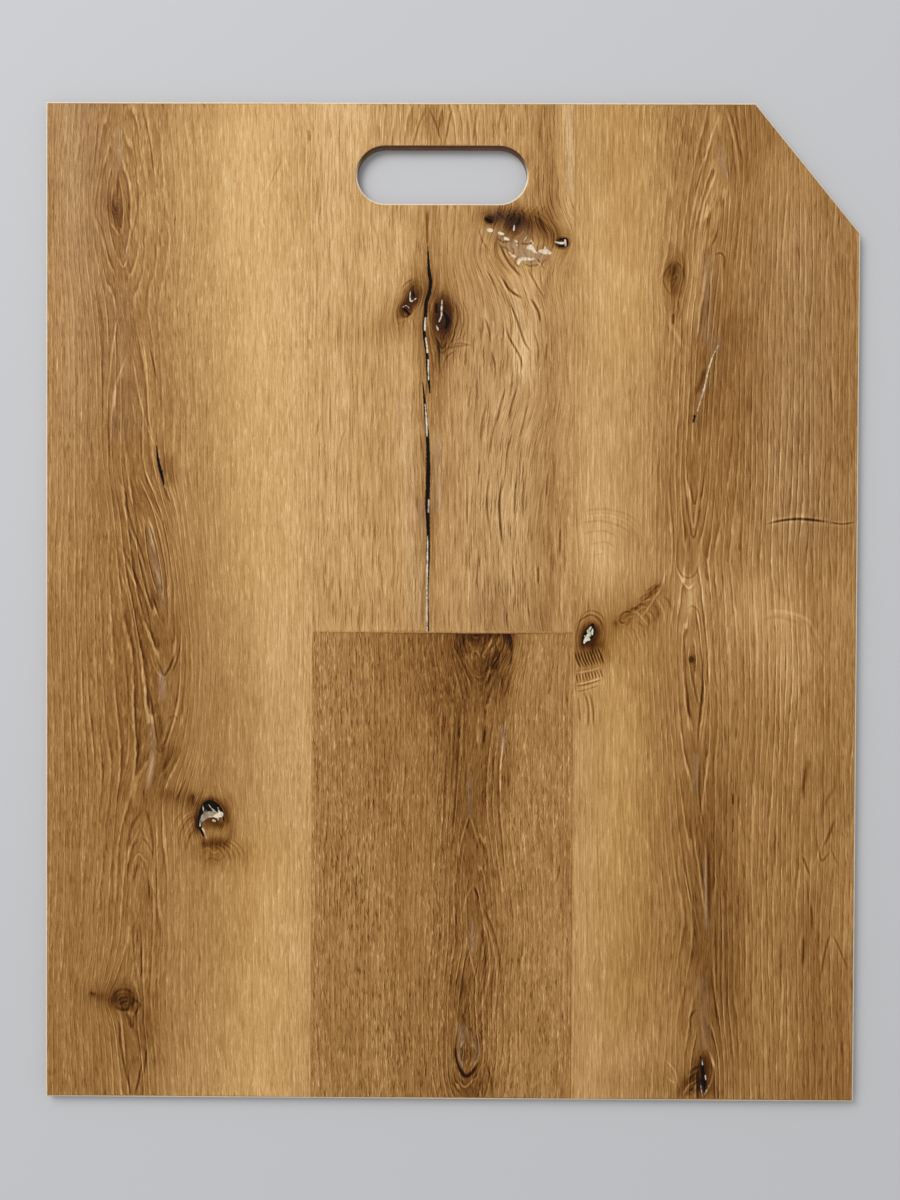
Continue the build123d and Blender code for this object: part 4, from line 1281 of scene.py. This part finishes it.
def print_tone(finish, x, y):
    """The tone, the greyness and how far outside the nearest dark knot, for many places."""
    decor = finish.decor
    tone = finish.tone + painted(decor.shades, x, y, 0) + painted(decor.lines, x, y, LINE_TAPER, FLANK)
    for knot in decor.knots:
        tone += knot.halo * np.exp(-((from_knot(knot, x, y) / HALO_REACH) ** 2))
    for number, (cell, size) in enumerate(BLOTS):
        tone += size * soft_noise(x, y, cell, finish.seed + BLOT_SEED + number)
    grey = np.clip(painted(decor.washed, x, y, 0), -1, 1)
    eye = np.full(x.shape, EYE_REACH)
    for knot in decor.knots:
        if knot.dark:
            eye = np.minimum(eye, (from_knot(knot, x, y) - 1) * min(knot.half))
    return tone, grey, eye


def print_figure(finish, x, y):
    """How strong the ring lines, the pores and the flecks are, for many places."""
    decor = finish.decor
    lined = finish.rings + painted(decor.lined, x, y, 0)
    pitted = finish.pores + painted(decor.pitted, x, y, 0)
    seeds = (finish.seed + FIGURE_SEED + number for number in range(3))
    vary = [1 + FIGURE_CHANGE * soft_noise(x, y, FIGURE_CELL, seed) for seed in seeds]
    return lined * vary[0], pitted * vary[1], finish.flecks * vary[2]


def print_marks(finish, x, y):
    """How much of a knot each place is, how far inside a crack and inside filler, and how pale that is."""
    knotty = np.zeros(x.shape)
    for knot in finish.decor.knots:
        knotty = np.maximum(knotty, knot.dark * np.clip(DARK_REACH - from_knot(knot, x, y), 0, 1))
    crack, _ = inside_by(finish.decor.cracks, x, y)
    filler, pale = inside_by(finish.decor.fillers, x, y)
    return knotty, crack, filler, pale


def lattice_points(finish, low, high, step):
    """The face's mesh points: a coarse lattice, and its fine lines wherever the print has a mark."""
    columns = np.arange(math.ceil((low[0] + RIM_GAP) / step), math.floor((high[0] - RIM_GAP) / step) + 1)
    rows = np.arange(math.ceil((low[1] + RIM_GAP) / step), math.floor((high[1] - RIM_GAP) / step) + 1)
    i, j = (part.ravel() for part in np.meshgrid(columns, rows))
    x, y = i * step, j * step
    kept = (i % COARSE_ACROSS == 0) & (j % COARSE_ALONG == 0)
    decor = finish.decor
    for stroke in decor.lines + decor.cracks + decor.fillers:
        chosen = near_box(stroke, x, y, np.max(stroke.width) + MARK_MARGIN)
        distance, share = from_stroke(stroke, x[chosen], y[chosen])
        kept[chosen] |= distance < staged(stroke.width, share) + MARK_MARGIN
    for knot in decor.knots:
        if knot.dark:
            kept |= from_knot(knot, x, y) < KNOT_MARGIN
    return np.stack([x[kept], y[kept]], 1)


def loops_of(edges):
    """The closed loops that a set of edges makes, each as a list of vertices."""
    left, loops = set(edges), []
    while left:
        edge = left.pop()
        loop = [edge.verts[0], edge.verts[1]]
        while True:
            following = next((e for e in loop[-1].link_edges if e in left), None)
            if following is None:
                break
            left.remove(following)
            loop.append(following.other_vert(loop[-1]))
        loops.append(loop[:-1])
    return loops


def is_clear_of(loop, points, gap, inside):
    """Which points lie inside, or outside, a closed loop by at least a gap."""
    corners = np.array([v.co.xy for v in loop]) / MM
    following = np.roll(corners, -1, 0)
    crossings, nearest = np.zeros(len(points), int), np.full(len(points), np.inf)
    for (ax, ay), (bx, by) in zip(corners, following):
        spans = (points[:, 1] < ay) != (points[:, 1] < by)
        rise = by - ay if by != ay else 1.0
        crossings += spans & (points[:, 0] < ax + (points[:, 1] - ay) * (bx - ax) / rise)
        distance, _ = from_stroke(Stroke(((ax, ay), (bx, by)), 0, 0), points[:, 0], points[:, 1])
        nearest = np.minimum(nearest, distance)
    return (crossings % 2 == inside) & (nearest > gap)


def refaced(name, finish, step):
    """A copy of a plank's solid whose flat face is filled again with a fine mesh."""
    bm = bmesh.new()
    bm.from_mesh(frame["nodes"][name].data)
    bmesh.ops.remove_doubles(bm, verts=bm.verts, dist=SAME_PLACE * MM)
    flat = {f for f in bm.faces if all(v.co.z > FACE_HEIGHT - SAME_PLACE * MM for v in f.verts)}
    rim = [e for e in bm.edges if sum(f in flat for f in e.link_faces) == 1]
    loops = sorted(loops_of(rim), key=lambda loop: -max(v.co.y for v in loop) + min(v.co.y for v in loop))
    bmesh.ops.delete(bm, geom=list(flat), context="FACES")

    corners = np.array([v.co.xy for loop in loops for v in loop]) / MM
    points = lattice_points(finish, corners.min(0), corners.max(0), step)
    points = points[is_clear_of(loops[0], points, RIM_GAP, 1)]
    for loop in loops[1:]:
        points = points[is_clear_of(loop, points, RIM_GAP, 0)]

    verts = [v for loop in loops for v in loop]
    edges, first = [], 0
    for loop in loops:
        edges += [(first + k, first + (k + 1) % len(loop)) for k in range(len(loop))]
        first += len(loop)
    outer, rim_count = len(loops[0]), first
    places = [Vector(p) for p in corners] + [Vector(p) for p in points]
    made, _, triangles, *_ = delaunay_2d_cdt(places, edges, [], 1, 1e-5, False)
    if len(made) != len(places):
        raise RuntimeError(f"{name}: the face's mesh has points that fall together")
    verts += [bm.verts.new((p[0] * MM, p[1] * MM, FACE_HEIGHT)) for p in points]
    for triangle in triangles:
        if all(outer <= corner < rim_count for corner in triangle):
            continue
        bm.faces.new([verts[corner] for corner in triangle])
    bmesh.ops.recalc_face_normals(bm, faces=bm.faces)
    mesh = bpy.data.meshes.new(name + "_face")
    bm.to_mesh(mesh)
    bm.free()
    return mesh


def add_values(mesh, name, kind, domain, values):
    """Writes an attribute of a mesh from an array."""
    attribute = mesh.attributes.new(name, kind, domain)
    field = "vector" if kind == "FLOAT_VECTOR" else "value"
    attribute.data.foreach_set(field, np.ascontiguousarray(values).ravel())


def add_print(mesh, finish):
    """Writes the print's grain, tone and marks, which points are embossed, which faces are cut, and the
    painted shade of the slot's upper wall.
    """
    places = np.empty(len(mesh.vertices) * 3, np.float32)
    mesh.vertices.foreach_get("co", places)
    places = places.reshape(-1, 3).astype(float) / MM
    x, y, z = places.T
    knot, crack, filler, pale = print_marks(finish, x, y)
    for name, values in (
        ("grain", (*grain_run(finish, x, y), pale)),
        ("tone", print_tone(finish, x, y)),
        ("figure", print_figure(finish, x, y)),
        ("mark", (knot, crack, filler)),
    ):
        add_values(mesh, name, "FLOAT_VECTOR", "POINT", np.stack(values, 1).astype(np.float32))
    top = FACE_HEIGHT / MM - SAME_PLACE
    loop_verts = np.empty(len(mesh.loops), np.int32)
    mesh.loops.foreach_get("vertex_index", loop_verts)
    starts = np.array([p.loop_start for p in mesh.polygons])
    lowest = np.minimum.reduceat(z[loop_verts], starts)
    rim = np.zeros(len(x), bool)
    counts = np.diff(np.append(starts, len(loop_verts)))
    face_of = np.repeat(np.arange(len(starts)), counts)
    flat = lowest > top
    rim[loop_verts[~flat[face_of]]] = True
    add_values(mesh, "embossed", "FLOAT", "POINT", ((z > top) & ~rim).astype(np.float32))
    core = lowest < FACE_HEIGHT / MM - CORE_DROP
    add_values(mesh, "core", "BOOLEAN", "FACE", core)
    # Painted shade: the core of the slot's upper wall faces down, away from the light, and is painted brown
    # from just below the slot's middle
    in_slot = np.hypot(x - SLOT_PLACE[0], y - SLOT_PLACE[1]) < SLOT_REACH
    stain = in_slot * smooth_step(SLOT_SHADE_START, SLOT_SHADE_END, y - SLOT_PLACE[1])
    add_values(mesh, "stain", "FLOAT", "POINT", stain.astype(np.float32))
    return places, loop_verts, core


def add_bake_map(mesh, places, loop_verts, core):
    """Lays the face out over nearly the whole square, so that its print bakes sharply."""
    low, high = places.min(0), places.max(0)
    share = (places - low) / (high - low)
    u, v = share[loop_verts, 0].copy(), EDGE_STRIP + (1 - EDGE_STRIP) * share[loop_verts, 1]
    normals = np.empty(len(mesh.polygons) * 3, np.float32)
    mesh.polygons.foreach_get("normal", normals)
    normals = normals.reshape(-1, 3)
    for face in np.flatnonzero(core):
        polygon = mesh.polygons[face]
        corners = np.arange(polygon.loop_start, polygon.loop_start + polygon.loop_total)
        place = share[loop_verts[corners]]
        across, along, up = normals[face]
        if up < FACING_DOWN:
            u[corners], v[corners] = place[:, 0], BACK_STRIP * place[:, 1]
            continue
        side = int(abs(along) > abs(across))
        row = 2 * side + int((along if side else across) > 0)
        u[corners] = place[:, 1 - side]
        v[corners] = BACK_STRIP + EDGE_ROW * (row + ROW_SHARE * place[:, 2])
    layer = mesh.uv_layers.new(name="OFBake")
    layer.uv.foreach_set("vector", np.stack([u, v], 1).astype(np.float32).ravel())


class Value:
    """A socket on which shader and geometry maths is written as a Python expression."""

    def __init__(self, kit, socket):
        self.kit = kit
        self.socket = socket

    def maths(self, operation, *others):
        node = self.kit.node("ShaderNodeMath", {"operation": operation}, dict(enumerate((self, *others))))
        return Value(self.kit, node.outputs[0])

    def __add__(self, other):
        return self.maths("ADD", other)

    def __sub__(self, other):
        return self.maths("SUBTRACT", other)

    def __mul__(self, other):
        return self.maths("MULTIPLY", other)

    def __truediv__(self, other):
        return self.maths("DIVIDE", other)

    def __rsub__(self, other):
        return (self * -1).maths("ADD", other)

    def __neg__(self):
        return self * -1

    __radd__ = __add__
    __rmul__ = __mul__

    def most(self, other):
        return self.maths("MAXIMUM", other)

    def step(self, low, high, least=0.0, most=1.0):
        """Goes smoothly from least at low to most at high."""
        sockets = {"Value": self, "From Min": low, "From Max": high, "To Min": least, "To Max": most}
        node = self.kit.node("ShaderNodeMapRange", {"interpolation_type": "SMOOTHSTEP"}, sockets)
        return Value(self.kit, node.outputs["Result"])


class NodeKit:
    """Adds nodes to one tree: settings first, then the values or links of the sockets."""

    def __init__(self, tree):
        self.tree = tree

    def node(self, kind, settings=None, sockets=None):
        node = self.tree.nodes.new(kind)
        for name, setting in (settings or {}).items():
            if name == "stops":
                self.set_stops(node.color_ramp, setting)
            else:
                setattr(node, name, setting)
        for name, value in (sockets or {}).items():
            if isinstance(value, Value):
                self.tree.links.new(value.socket, node.inputs[name])
            elif isinstance(value, bpy.types.NodeSocket):
                self.tree.links.new(value, node.inputs[name])
            else:
                node.inputs[name].default_value = value
        return node

    @staticmethod
    def set_stops(ramp, stops):
        while len(ramp.elements) < len(stops):
            ramp.elements.new(1.0)
        for element, (position, colour) in zip(ramp.elements, stops):
            element.position = position
            element.color = (*colour, 1.0)

    def parts(self, vector):
        """The three numbers of a vector socket."""
        split = self.node("ShaderNodeSeparateXYZ", None, {0: vector})
        return tuple(Value(self, socket) for socket in split.outputs)

    def attribute(self, name):
        node = self.node("ShaderNodeAttribute", {"attribute_name": name})
        return self.parts(node.outputs["Vector"])

    def noise(self, x, y, z, detail, roughness=0.5):
        """Smooth noise from 0 to 1 at three numbers, each in cells. The slice is turned, so no rows show."""
        place = self.node("ShaderNodeCombineXYZ", None, {0: x, 1: y, 2: x * 0.61 + y * 0.53 + z})
        sockets = {"Vector": place.outputs[0], "Scale": 1.0, "Detail": detail, "Roughness": roughness}
        return Value(self, self.node("ShaderNodeTexNoise", None, sockets).outputs[0])

    def mix(self, share, first, second):
        """A colour between two colours."""
        colours = {name: value if isinstance(value, bpy.types.NodeSocket) else (*value, 1.0)
                   for name, value in ((6, first), (7, second))}
        return self.node("ShaderNodeMix", {"data_type": "RGBA"}, {0: share, **colours}).outputs[2]


def new_material(name):
    material = bpy.data.materials.new(name)
    material.use_nodes = True
    kit = NodeKit(material.node_tree)
    shader = material.node_tree.nodes["Principled BSDF"]
    return material, kit, shader


def connect(kit, shader, name, value):
    """Links a value or a socket to one of a shader's sockets."""
    socket = value.socket if isinstance(value, Value) else value
    kit.tree.links.new(socket, shader.inputs[name])


def printed_grain(kit, finish, strengths, x, y):
    """The change of tone that rings, streaks, fibres, pores and flecks make, and the pores alone."""
    ring, across, _ = kit.attribute("grain")
    _, _, eye = kit.attribute("tone")
    lined, pitted, flecked = kit.attribute("figure")
    along, seed = y * (1 / MM), finish.seed

    # Each ring darkens outward and ends in a thin pale line, and is faint over the heart
    drift = kit.noise(across / 8, along / 130, seed + 3.1, 1.0)
    whole = kit.noise(across / 2.2, along / 36, seed + 21.7, 1.0)
    wander = (kit.noise(across / 2.5, along / finish.wave, seed + 31.3, 0.0) - 0.5) * finish.wander
    turn = ((ring + wander * 0.6) * (1 / finish.spacing) + drift * 1.6).maths("FRACT")
    dark = turn.step(0.4, 0.64) * turn.step(0.75, 0.68) * strengths.dark_ring
    pale = turn.step(0.7, 0.79) * turn.step(0.98, 0.88) * strengths.pale_ring
    off_heart = (across * across / (ring * ring + 1)).step(0.03, 0.3, 0.1, 1.0)
    rings = (pale - dark) * whole.step(0.2, 0.5) * off_heart * lined
    curl = (eye * 0.5 + drift * 2).maths("FRACT")
    curls = curl.step(0.4, 0.7) * curl.step(1.0, 0.75) * eye.step(7.0, 1.0) * eye.step(-0.5, 0.5)

    # Fibres, pores and flecks lie along the grain
    thread = across + wander
    streak = kit.noise(across / 2.4, along / 32, seed, 2.0, 0.6)
    fibre = kit.noise(thread / 0.6, along / finish.fibre_length, seed + 5.5, 1.0)
    pores = kit.noise(thread / 0.7, along / finish.pore_length, seed + 7.3, 0.0).step(0.58, 0.72)
    flecks = kit.noise(thread / 0.7, along / finish.fleck_length, seed + 15.1, 1.0).step(0.56, 0.72)
    dust = kit.noise(x * (1 / (0.7 * MM)), y * (1 / (1.1 * MM)), seed, 1.0)
    grain = rings + (streak - 0.5) * (strengths.streak * finish.streaks) + (fibre - 0.5) * strengths.fibre
    grain = grain + (dust - 0.5) * strengths.dust - pores * pitted * strengths.pore
    return grain + flecks * flecked * strengths.fleck - curls * strengths.curl, pores


def oak_print(name, finish, colours, strengths):
    """The printed oak: the tone and the grain, then knots, cracks and filler."""
    material, kit, shader = new_material(name)
    _, _, paleness = kit.attribute("grain")
    tone, grey, _ = kit.attribute("tone")
    knot, crack, filler = kit.attribute("mark")
    x, y, _ = kit.parts(kit.node("ShaderNodeTexCoord").outputs["Object"])
    seed = finish.seed
    grain, pores = printed_grain(kit, finish, strengths, x, y)
    value = tone + grain

    # Knots are dark with a speckled edge, and the tone then picks the colour
    speck = kit.noise(x * (1 / (1.1 * MM)), y * (1 / (1.6 * MM)), seed, 1.0)
    knotty = (knot + (speck - 0.5) * 0.5).step(0.05, 0.95) * knot.step(0.0, 0.3)
    value = value - knotty * (value - (speck * 0.3 - 0.02))
    stops = [(0.08, colours.shade), (0.2, colours.umber), (0.31, colours.brown), (0.43, colours.tan),
             (0.55, colours.honey), (0.67, colours.straw), (0.8, colours.cream)]
    wood = kit.node("ShaderNodeValToRGB", {"stops": stops}, {0: value}).outputs[0]
    sockets = {"Saturation": 1 - grey * 0.5, "Color": wood}
    wood = kit.node("ShaderNodeHueSaturation", None, sockets).outputs[0]

    # Open cracks have ragged edges, and pale filler lies in crumbs
    split = (crack + (speck - 0.5) * 0.8).step(-0.3, 0.2)
    wood = kit.mix(split, wood, colours.crack)
    crumb = kit.noise(x * (1 / (2.2 * MM)), y * (1 / (3.0 * MM)), seed + 4, 2.0, 0.6)
    filled = (filler + (crumb - 0.5) * 0.9).step(-0.2, 0.3) * filler.step(-0.45, -0.1)
    wood = kit.mix(filled * crumb.step(0.3, 0.6, 0.4, 1.0) * paleness, wood, colours.filler)

    connect(kit, shader, "Base Color", wood)
    connect(kit, shader, "Roughness", 0.5 + pores * 0.12 + split * 0.2)
    sockets = {"Strength": 0.35, "Distance": 0.15 * MM, "Height": grain * 6 - split}
    connect(kit, shader, "Normal", kit.node("ShaderNodeBump", None, sockets).outputs[0])
    shader.inputs["Specular IOR Level"].default_value = 0.08
    return material


def vinyl_core(colours):
    """The pale cut edge of the vinyl, with faint specks and the drag of the cutter, and painted shade in
    umber on the slot's upper wall.
    """
    material, kit, shader = new_material("vinyl_core")
    x, y, z = kit.parts(kit.node("ShaderNodeTexCoord").outputs["Object"])
    speck = kit.noise(x * SPECK, y * SPECK, z * SPECK, 2.0)
    drag = kit.noise(x * DRAG, y * DRAG, z * DRAG_UP, 1.0)
    dark = tuple(channel * 0.78 for channel in colours.core)
    share = (speck * 0.6 + drag * 0.4).step(0.35, 0.65)
    pale = kit.mix(share, dark, tuple(colours.core))
    # Painted shade: the cut edge turns umber where the slot's upper wall faces down, away from the light
    stain = Value(kit, kit.node("ShaderNodeAttribute", {"attribute_name": "stain"}).outputs["Fac"])
    connect(kit, shader, "Base Color", kit.mix(stain, pale, tuple(colours.umber)))
    connect(kit, shader, "Roughness", 0.5 + drag * 0.2)
    sockets = {"Strength": 0.3, "Distance": 0.1 * MM, "Height": drag + speck * 0.5}
    connect(kit, shader, "Normal", kit.node("ShaderNodeBump", None, sockets).outputs[0])
    return material


def fibreboard(colours):
    """Pressed wood fibre: a brown mat of pale and dark fibres, with a sawn edge."""
    material, kit, shader = new_material("pressed_fibreboard")
    x, y, z = kit.parts(kit.node("ShaderNodeTexCoord").outputs["Object"])
    mat = kit.noise(x * MAT, y * MAT, z * MAT_UP, 3.0, 0.6)
    fibre = kit.noise(x * FIBRE_THIN, y * FIBRE_LONG, z * FIBRE_UP, 2.0, 0.6)
    cross = kit.noise(x * FIBRE_LONG, y * FIBRE_THIN, z * FIBRE_UP + 9, 2.0, 0.6)
    pale = tuple(min(channel * 1.35, 1.0) for channel in colours.board)
    dark = tuple(channel * 0.55 for channel in colours.board)
    base = kit.mix(mat.step(0.3, 0.7), dark, tuple(colours.board))
    base = kit.mix(fibre.most(cross).step(0.58, 0.75), base, pale)
    base = kit.mix((1 - fibre).most(1 - cross).step(0.62, 0.78) * 0.7, base, dark)
    connect(kit, shader, "Base Color", base)
    connect(kit, shader, "Roughness", 0.72 + mat * 0.2)
    sockets = {"Strength": 0.4, "Distance": 0.2 * MM, "Height": fibre + cross + mat}
    connect(kit, shader, "Normal", kit.node("ShaderNodeBump", None, sockets).outputs[0])
    return material


def embossing_tree():
    """Geometry nodes that sink the grain, the knots and the cracks into a plank's face."""
    tree = bpy.data.node_groups.new("Embossed face", "GeometryNodeTree")
    tree.interface.new_socket("Geometry", in_out="OUTPUT", socket_type="NodeSocketGeometry")
    for name, kind in (
        ("Geometry", "Geometry"), ("Relief", "Float"), ("Relief width", "Float"), ("Relief length", "Float"),
        ("Knot depth", "Float"), ("Crack depth", "Float"), ("Seed", "Int"),
        ("Print", "Material"), ("Core", "Material"),
    ):
        tree.interface.new_socket(name, in_out="INPUT", socket_type="NodeSocket" + kind)
    kit = NodeKit(tree)
    given = kit.node("NodeGroupInput").outputs

    def stored(name, kind="FLOAT"):
        node = kit.node("GeometryNodeInputNamedAttribute", {"data_type": kind}, {"Name": name})
        return node.outputs["Attribute"]

    _, across, _ = kit.parts(stored("grain", "FLOAT_VECTOR"))
    _, height, _ = kit.parts(kit.node("GeometryNodeInputPosition").outputs[0])
    along = height * (1 / MM)
    knot, crack, _ = kit.parts(stored("mark", "FLOAT_VECTOR"))
    band = kit.noise(across / Value(kit, given["Relief width"]), along / Value(kit, given["Relief length"]),
                     given["Seed"], 1.0)
    sunk = band.step(0.4, 0.65) * Value(kit, given["Relief"])
    sunk = sunk + knot * Value(kit, given["Knot depth"])
    sunk = sunk + crack.step(-0.3, 0.5) * Value(kit, given["Crack depth"])
    sunk = sunk * Value(kit, stored("embossed"))
    offset = kit.node("ShaderNodeCombineXYZ", None, {2: -sunk}).outputs[0]
    shaped = kit.node("GeometryNodeSetPosition", None, {"Geometry": given["Geometry"], "Offset": offset})
    real = kit.node("GeometryNodeRealizeInstances", None, {"Geometry": shaped.outputs[0]})
    sockets = {"Geometry": real.outputs[0], "Material": given["Print"]}
    printed = kit.node("GeometryNodeSetMaterial", None, sockets)
    is_core = stored("core", "BOOLEAN")
    sockets = {"Geometry": printed.outputs[0], "Material": given["Core"], "Selection": is_core}
    cut = kit.node("GeometryNodeSetMaterial", None, sockets)
    kit.node("NodeGroupOutput", None, {0: cut.outputs[0]})
    return tree


def embossed(name, mesh, tree, inputs):
    """A piece with the mesh that the embossing tree makes of a plank's mesh."""
    base = bpy.data.objects.new(name + "_base", mesh)
    bpy.context.scene.collection.objects.link(base)
    modifier = base.modifiers.new("Embossing", "NODES")
    modifier.node_group = tree
    for item in tree.interface.items_tree:
        if item.in_out == "INPUT" and item.name in inputs:
            modifier[item.identifier] = inputs[item.name]
    graph = bpy.context.evaluated_depsgraph_get()
    shaped = bpy.data.meshes.new_from_object(base.evaluated_get(graph), depsgraph=graph)
    bpy.data.objects.remove(base)
    bpy.data.meshes.remove(mesh)
    shaped.name = name
    shaped.shade_smooth()
    shaped.set_sharp_from_angle(angle=SHARP_ANGLE)
    piece = bpy.data.objects.new(name, shaped)
    bpy.context.scene.collection.objects.link(piece)
    return piece


class BOARD_OT_planks(bpy.types.Operator):
    """Make the four printed planks from their solids"""

    bl_idname = "sample_board.planks"
    bl_label = "Printed planks"

    def execute(self, context):
        sizes, colours = context.scene.face_sizes, context.scene.oak_colours
        strengths = context.scene.grain_strengths
        tree, core = embossing_tree(), vinyl_core(colours)
        for name, finish in PLANKS.items():
            mesh = refaced(name, finish, sizes.lattice / MM)
            places, loop_verts, core_faces = add_print(mesh, finish)
            add_bake_map(mesh, places, loop_verts, core_faces)
            inputs = {
                "Relief": sizes.relief, "Relief width": sizes.relief_width,
                "Relief length": sizes.relief_length, "Knot depth": sizes.knot_depth,
                "Crack depth": sizes.crack_depth, "Seed": sizes.seed,
                "Print": oak_print("printed_" + name, finish, colours, strengths), "Core": core,
            }
            piece = embossed("printed_" + name, mesh, tree, inputs)
            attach(piece, BODY)
            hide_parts(name)
        return {"FINISHED"}


class BOARD_OT_carrier(bpy.types.Operator):
    """Give the carrier its fibreboard"""

    bl_idname = "sample_board.carrier"
    bl_label = "Fibreboard carrier"

    def execute(self, context):
        carrier = frame["nodes"]["carrier_board"]
        material = fibreboard(context.scene.oak_colours)
        if not carrier.material_slots:
            carrier.data.materials.append(None)
        for place in carrier.material_slots:
            place.material = material
        return {"FINISHED"}


class BOARD_OT_studio(bpy.types.Operator):
    """Set up the floor, the lights and the camera"""

    bl_idname = "sample_board.studio"
    bl_label = "Studio"

    def execute(self, context):
        scene, studio = context.scene, context.scene.studio_settings
        material, _, shader = new_material("pale_floor")
        shader.inputs["Base Color"].default_value = (*studio.floor_colour, 1.0)
        shader.inputs["Roughness"].default_value = 0.9
        half = studio.floor_size / 2
        mesh = bpy.data.meshes.new("floor")
        corners = [(-half, -half, 0), (half, -half, 0), (half, half, 0), (-half, half, 0)]
        mesh.from_pydata(corners, [], [(0, 1, 2, 3)])
        mesh.materials.append(material)
        floor = bpy.data.objects.new("floor", mesh)
        scene.collection.objects.link(floor)

        world = bpy.data.worlds.new("studio")
        world.use_nodes = True
        world.node_tree.nodes["Background"].inputs["Color"].default_value = (1.0, 1.0, 1.0, 1.0)
        world.node_tree.nodes["Background"].inputs["Strength"].default_value = studio.world
        scene.world = world
        lamp = bpy.data.lights.new("key", "AREA")
        lamp.energy = studio.key_power
        lamp.size = studio.key_size
        key = bpy.data.objects.new("key", lamp)
        key.location = studio.key_place
        key.rotation_euler = (-Vector(studio.key_place)).to_track_quat("-Z", "Y").to_euler()
        scene.collection.objects.link(key)

        lens = bpy.data.cameras.new("camera")
        lens.lens = studio.lens
        lens.sensor_width = LONG_SIDE
        lens.clip_start = 0.01
        camera = bpy.data.objects.new("camera", lens)
        camera.location = studio.camera_place
        camera.rotation_euler = studio.camera_turn
        scene.collection.objects.link(camera)
        scene.camera = camera
        scene.view_settings.view_transform = "Standard"
        return {"FINISHED"}


class BOARD_PT_panel(bpy.types.Panel):
    """Lists the board's pieces and their settings"""

    bl_idname = "BOARD_PT_panel"
    bl_label = "Sample board"
    bl_space_type = "VIEW_3D"
    bl_region_type = "UI"
    bl_category = "Sample board"

    def draw(self, context):
        for operator in OPERATORS:
            self.layout.operator(operator.bl_idname)
        for group in SETTINGS:
            box = self.layout.box()
            settings = getattr(context.scene, group)
            for name in settings.bl_rna.properties.keys():
                if name not in ("rna_type", "name"):
                    box.prop(settings, name)


OPERATORS = (BOARD_OT_carrier, BOARD_OT_planks, BOARD_OT_studio)
SETTINGS = {
    "face_sizes": FaceSizes,
    "grain_strengths": GrainStrengths,
    "oak_colours": OakColours,
    "studio_settings": StudioSettings,
}
CLASSES = (*SETTINGS.values(), *OPERATORS, BOARD_PT_panel)


def register():
    for cls in CLASSES:
        bpy.utils.register_class(cls)
    for name, group in SETTINGS.items():
        setattr(bpy.types.Scene, name, PointerProperty(type=group))


def unregister():
    for name in SETTINGS:
        delattr(bpy.types.Scene, name)
    for cls in reversed(CLASSES):
        bpy.utils.unregister_class(cls)


def main():
    register()
    bpy.ops.sample_board.carrier()
    bpy.ops.sample_board.planks()
    bpy.ops.sample_board.studio()


if __name__ == "__main__":
    main()
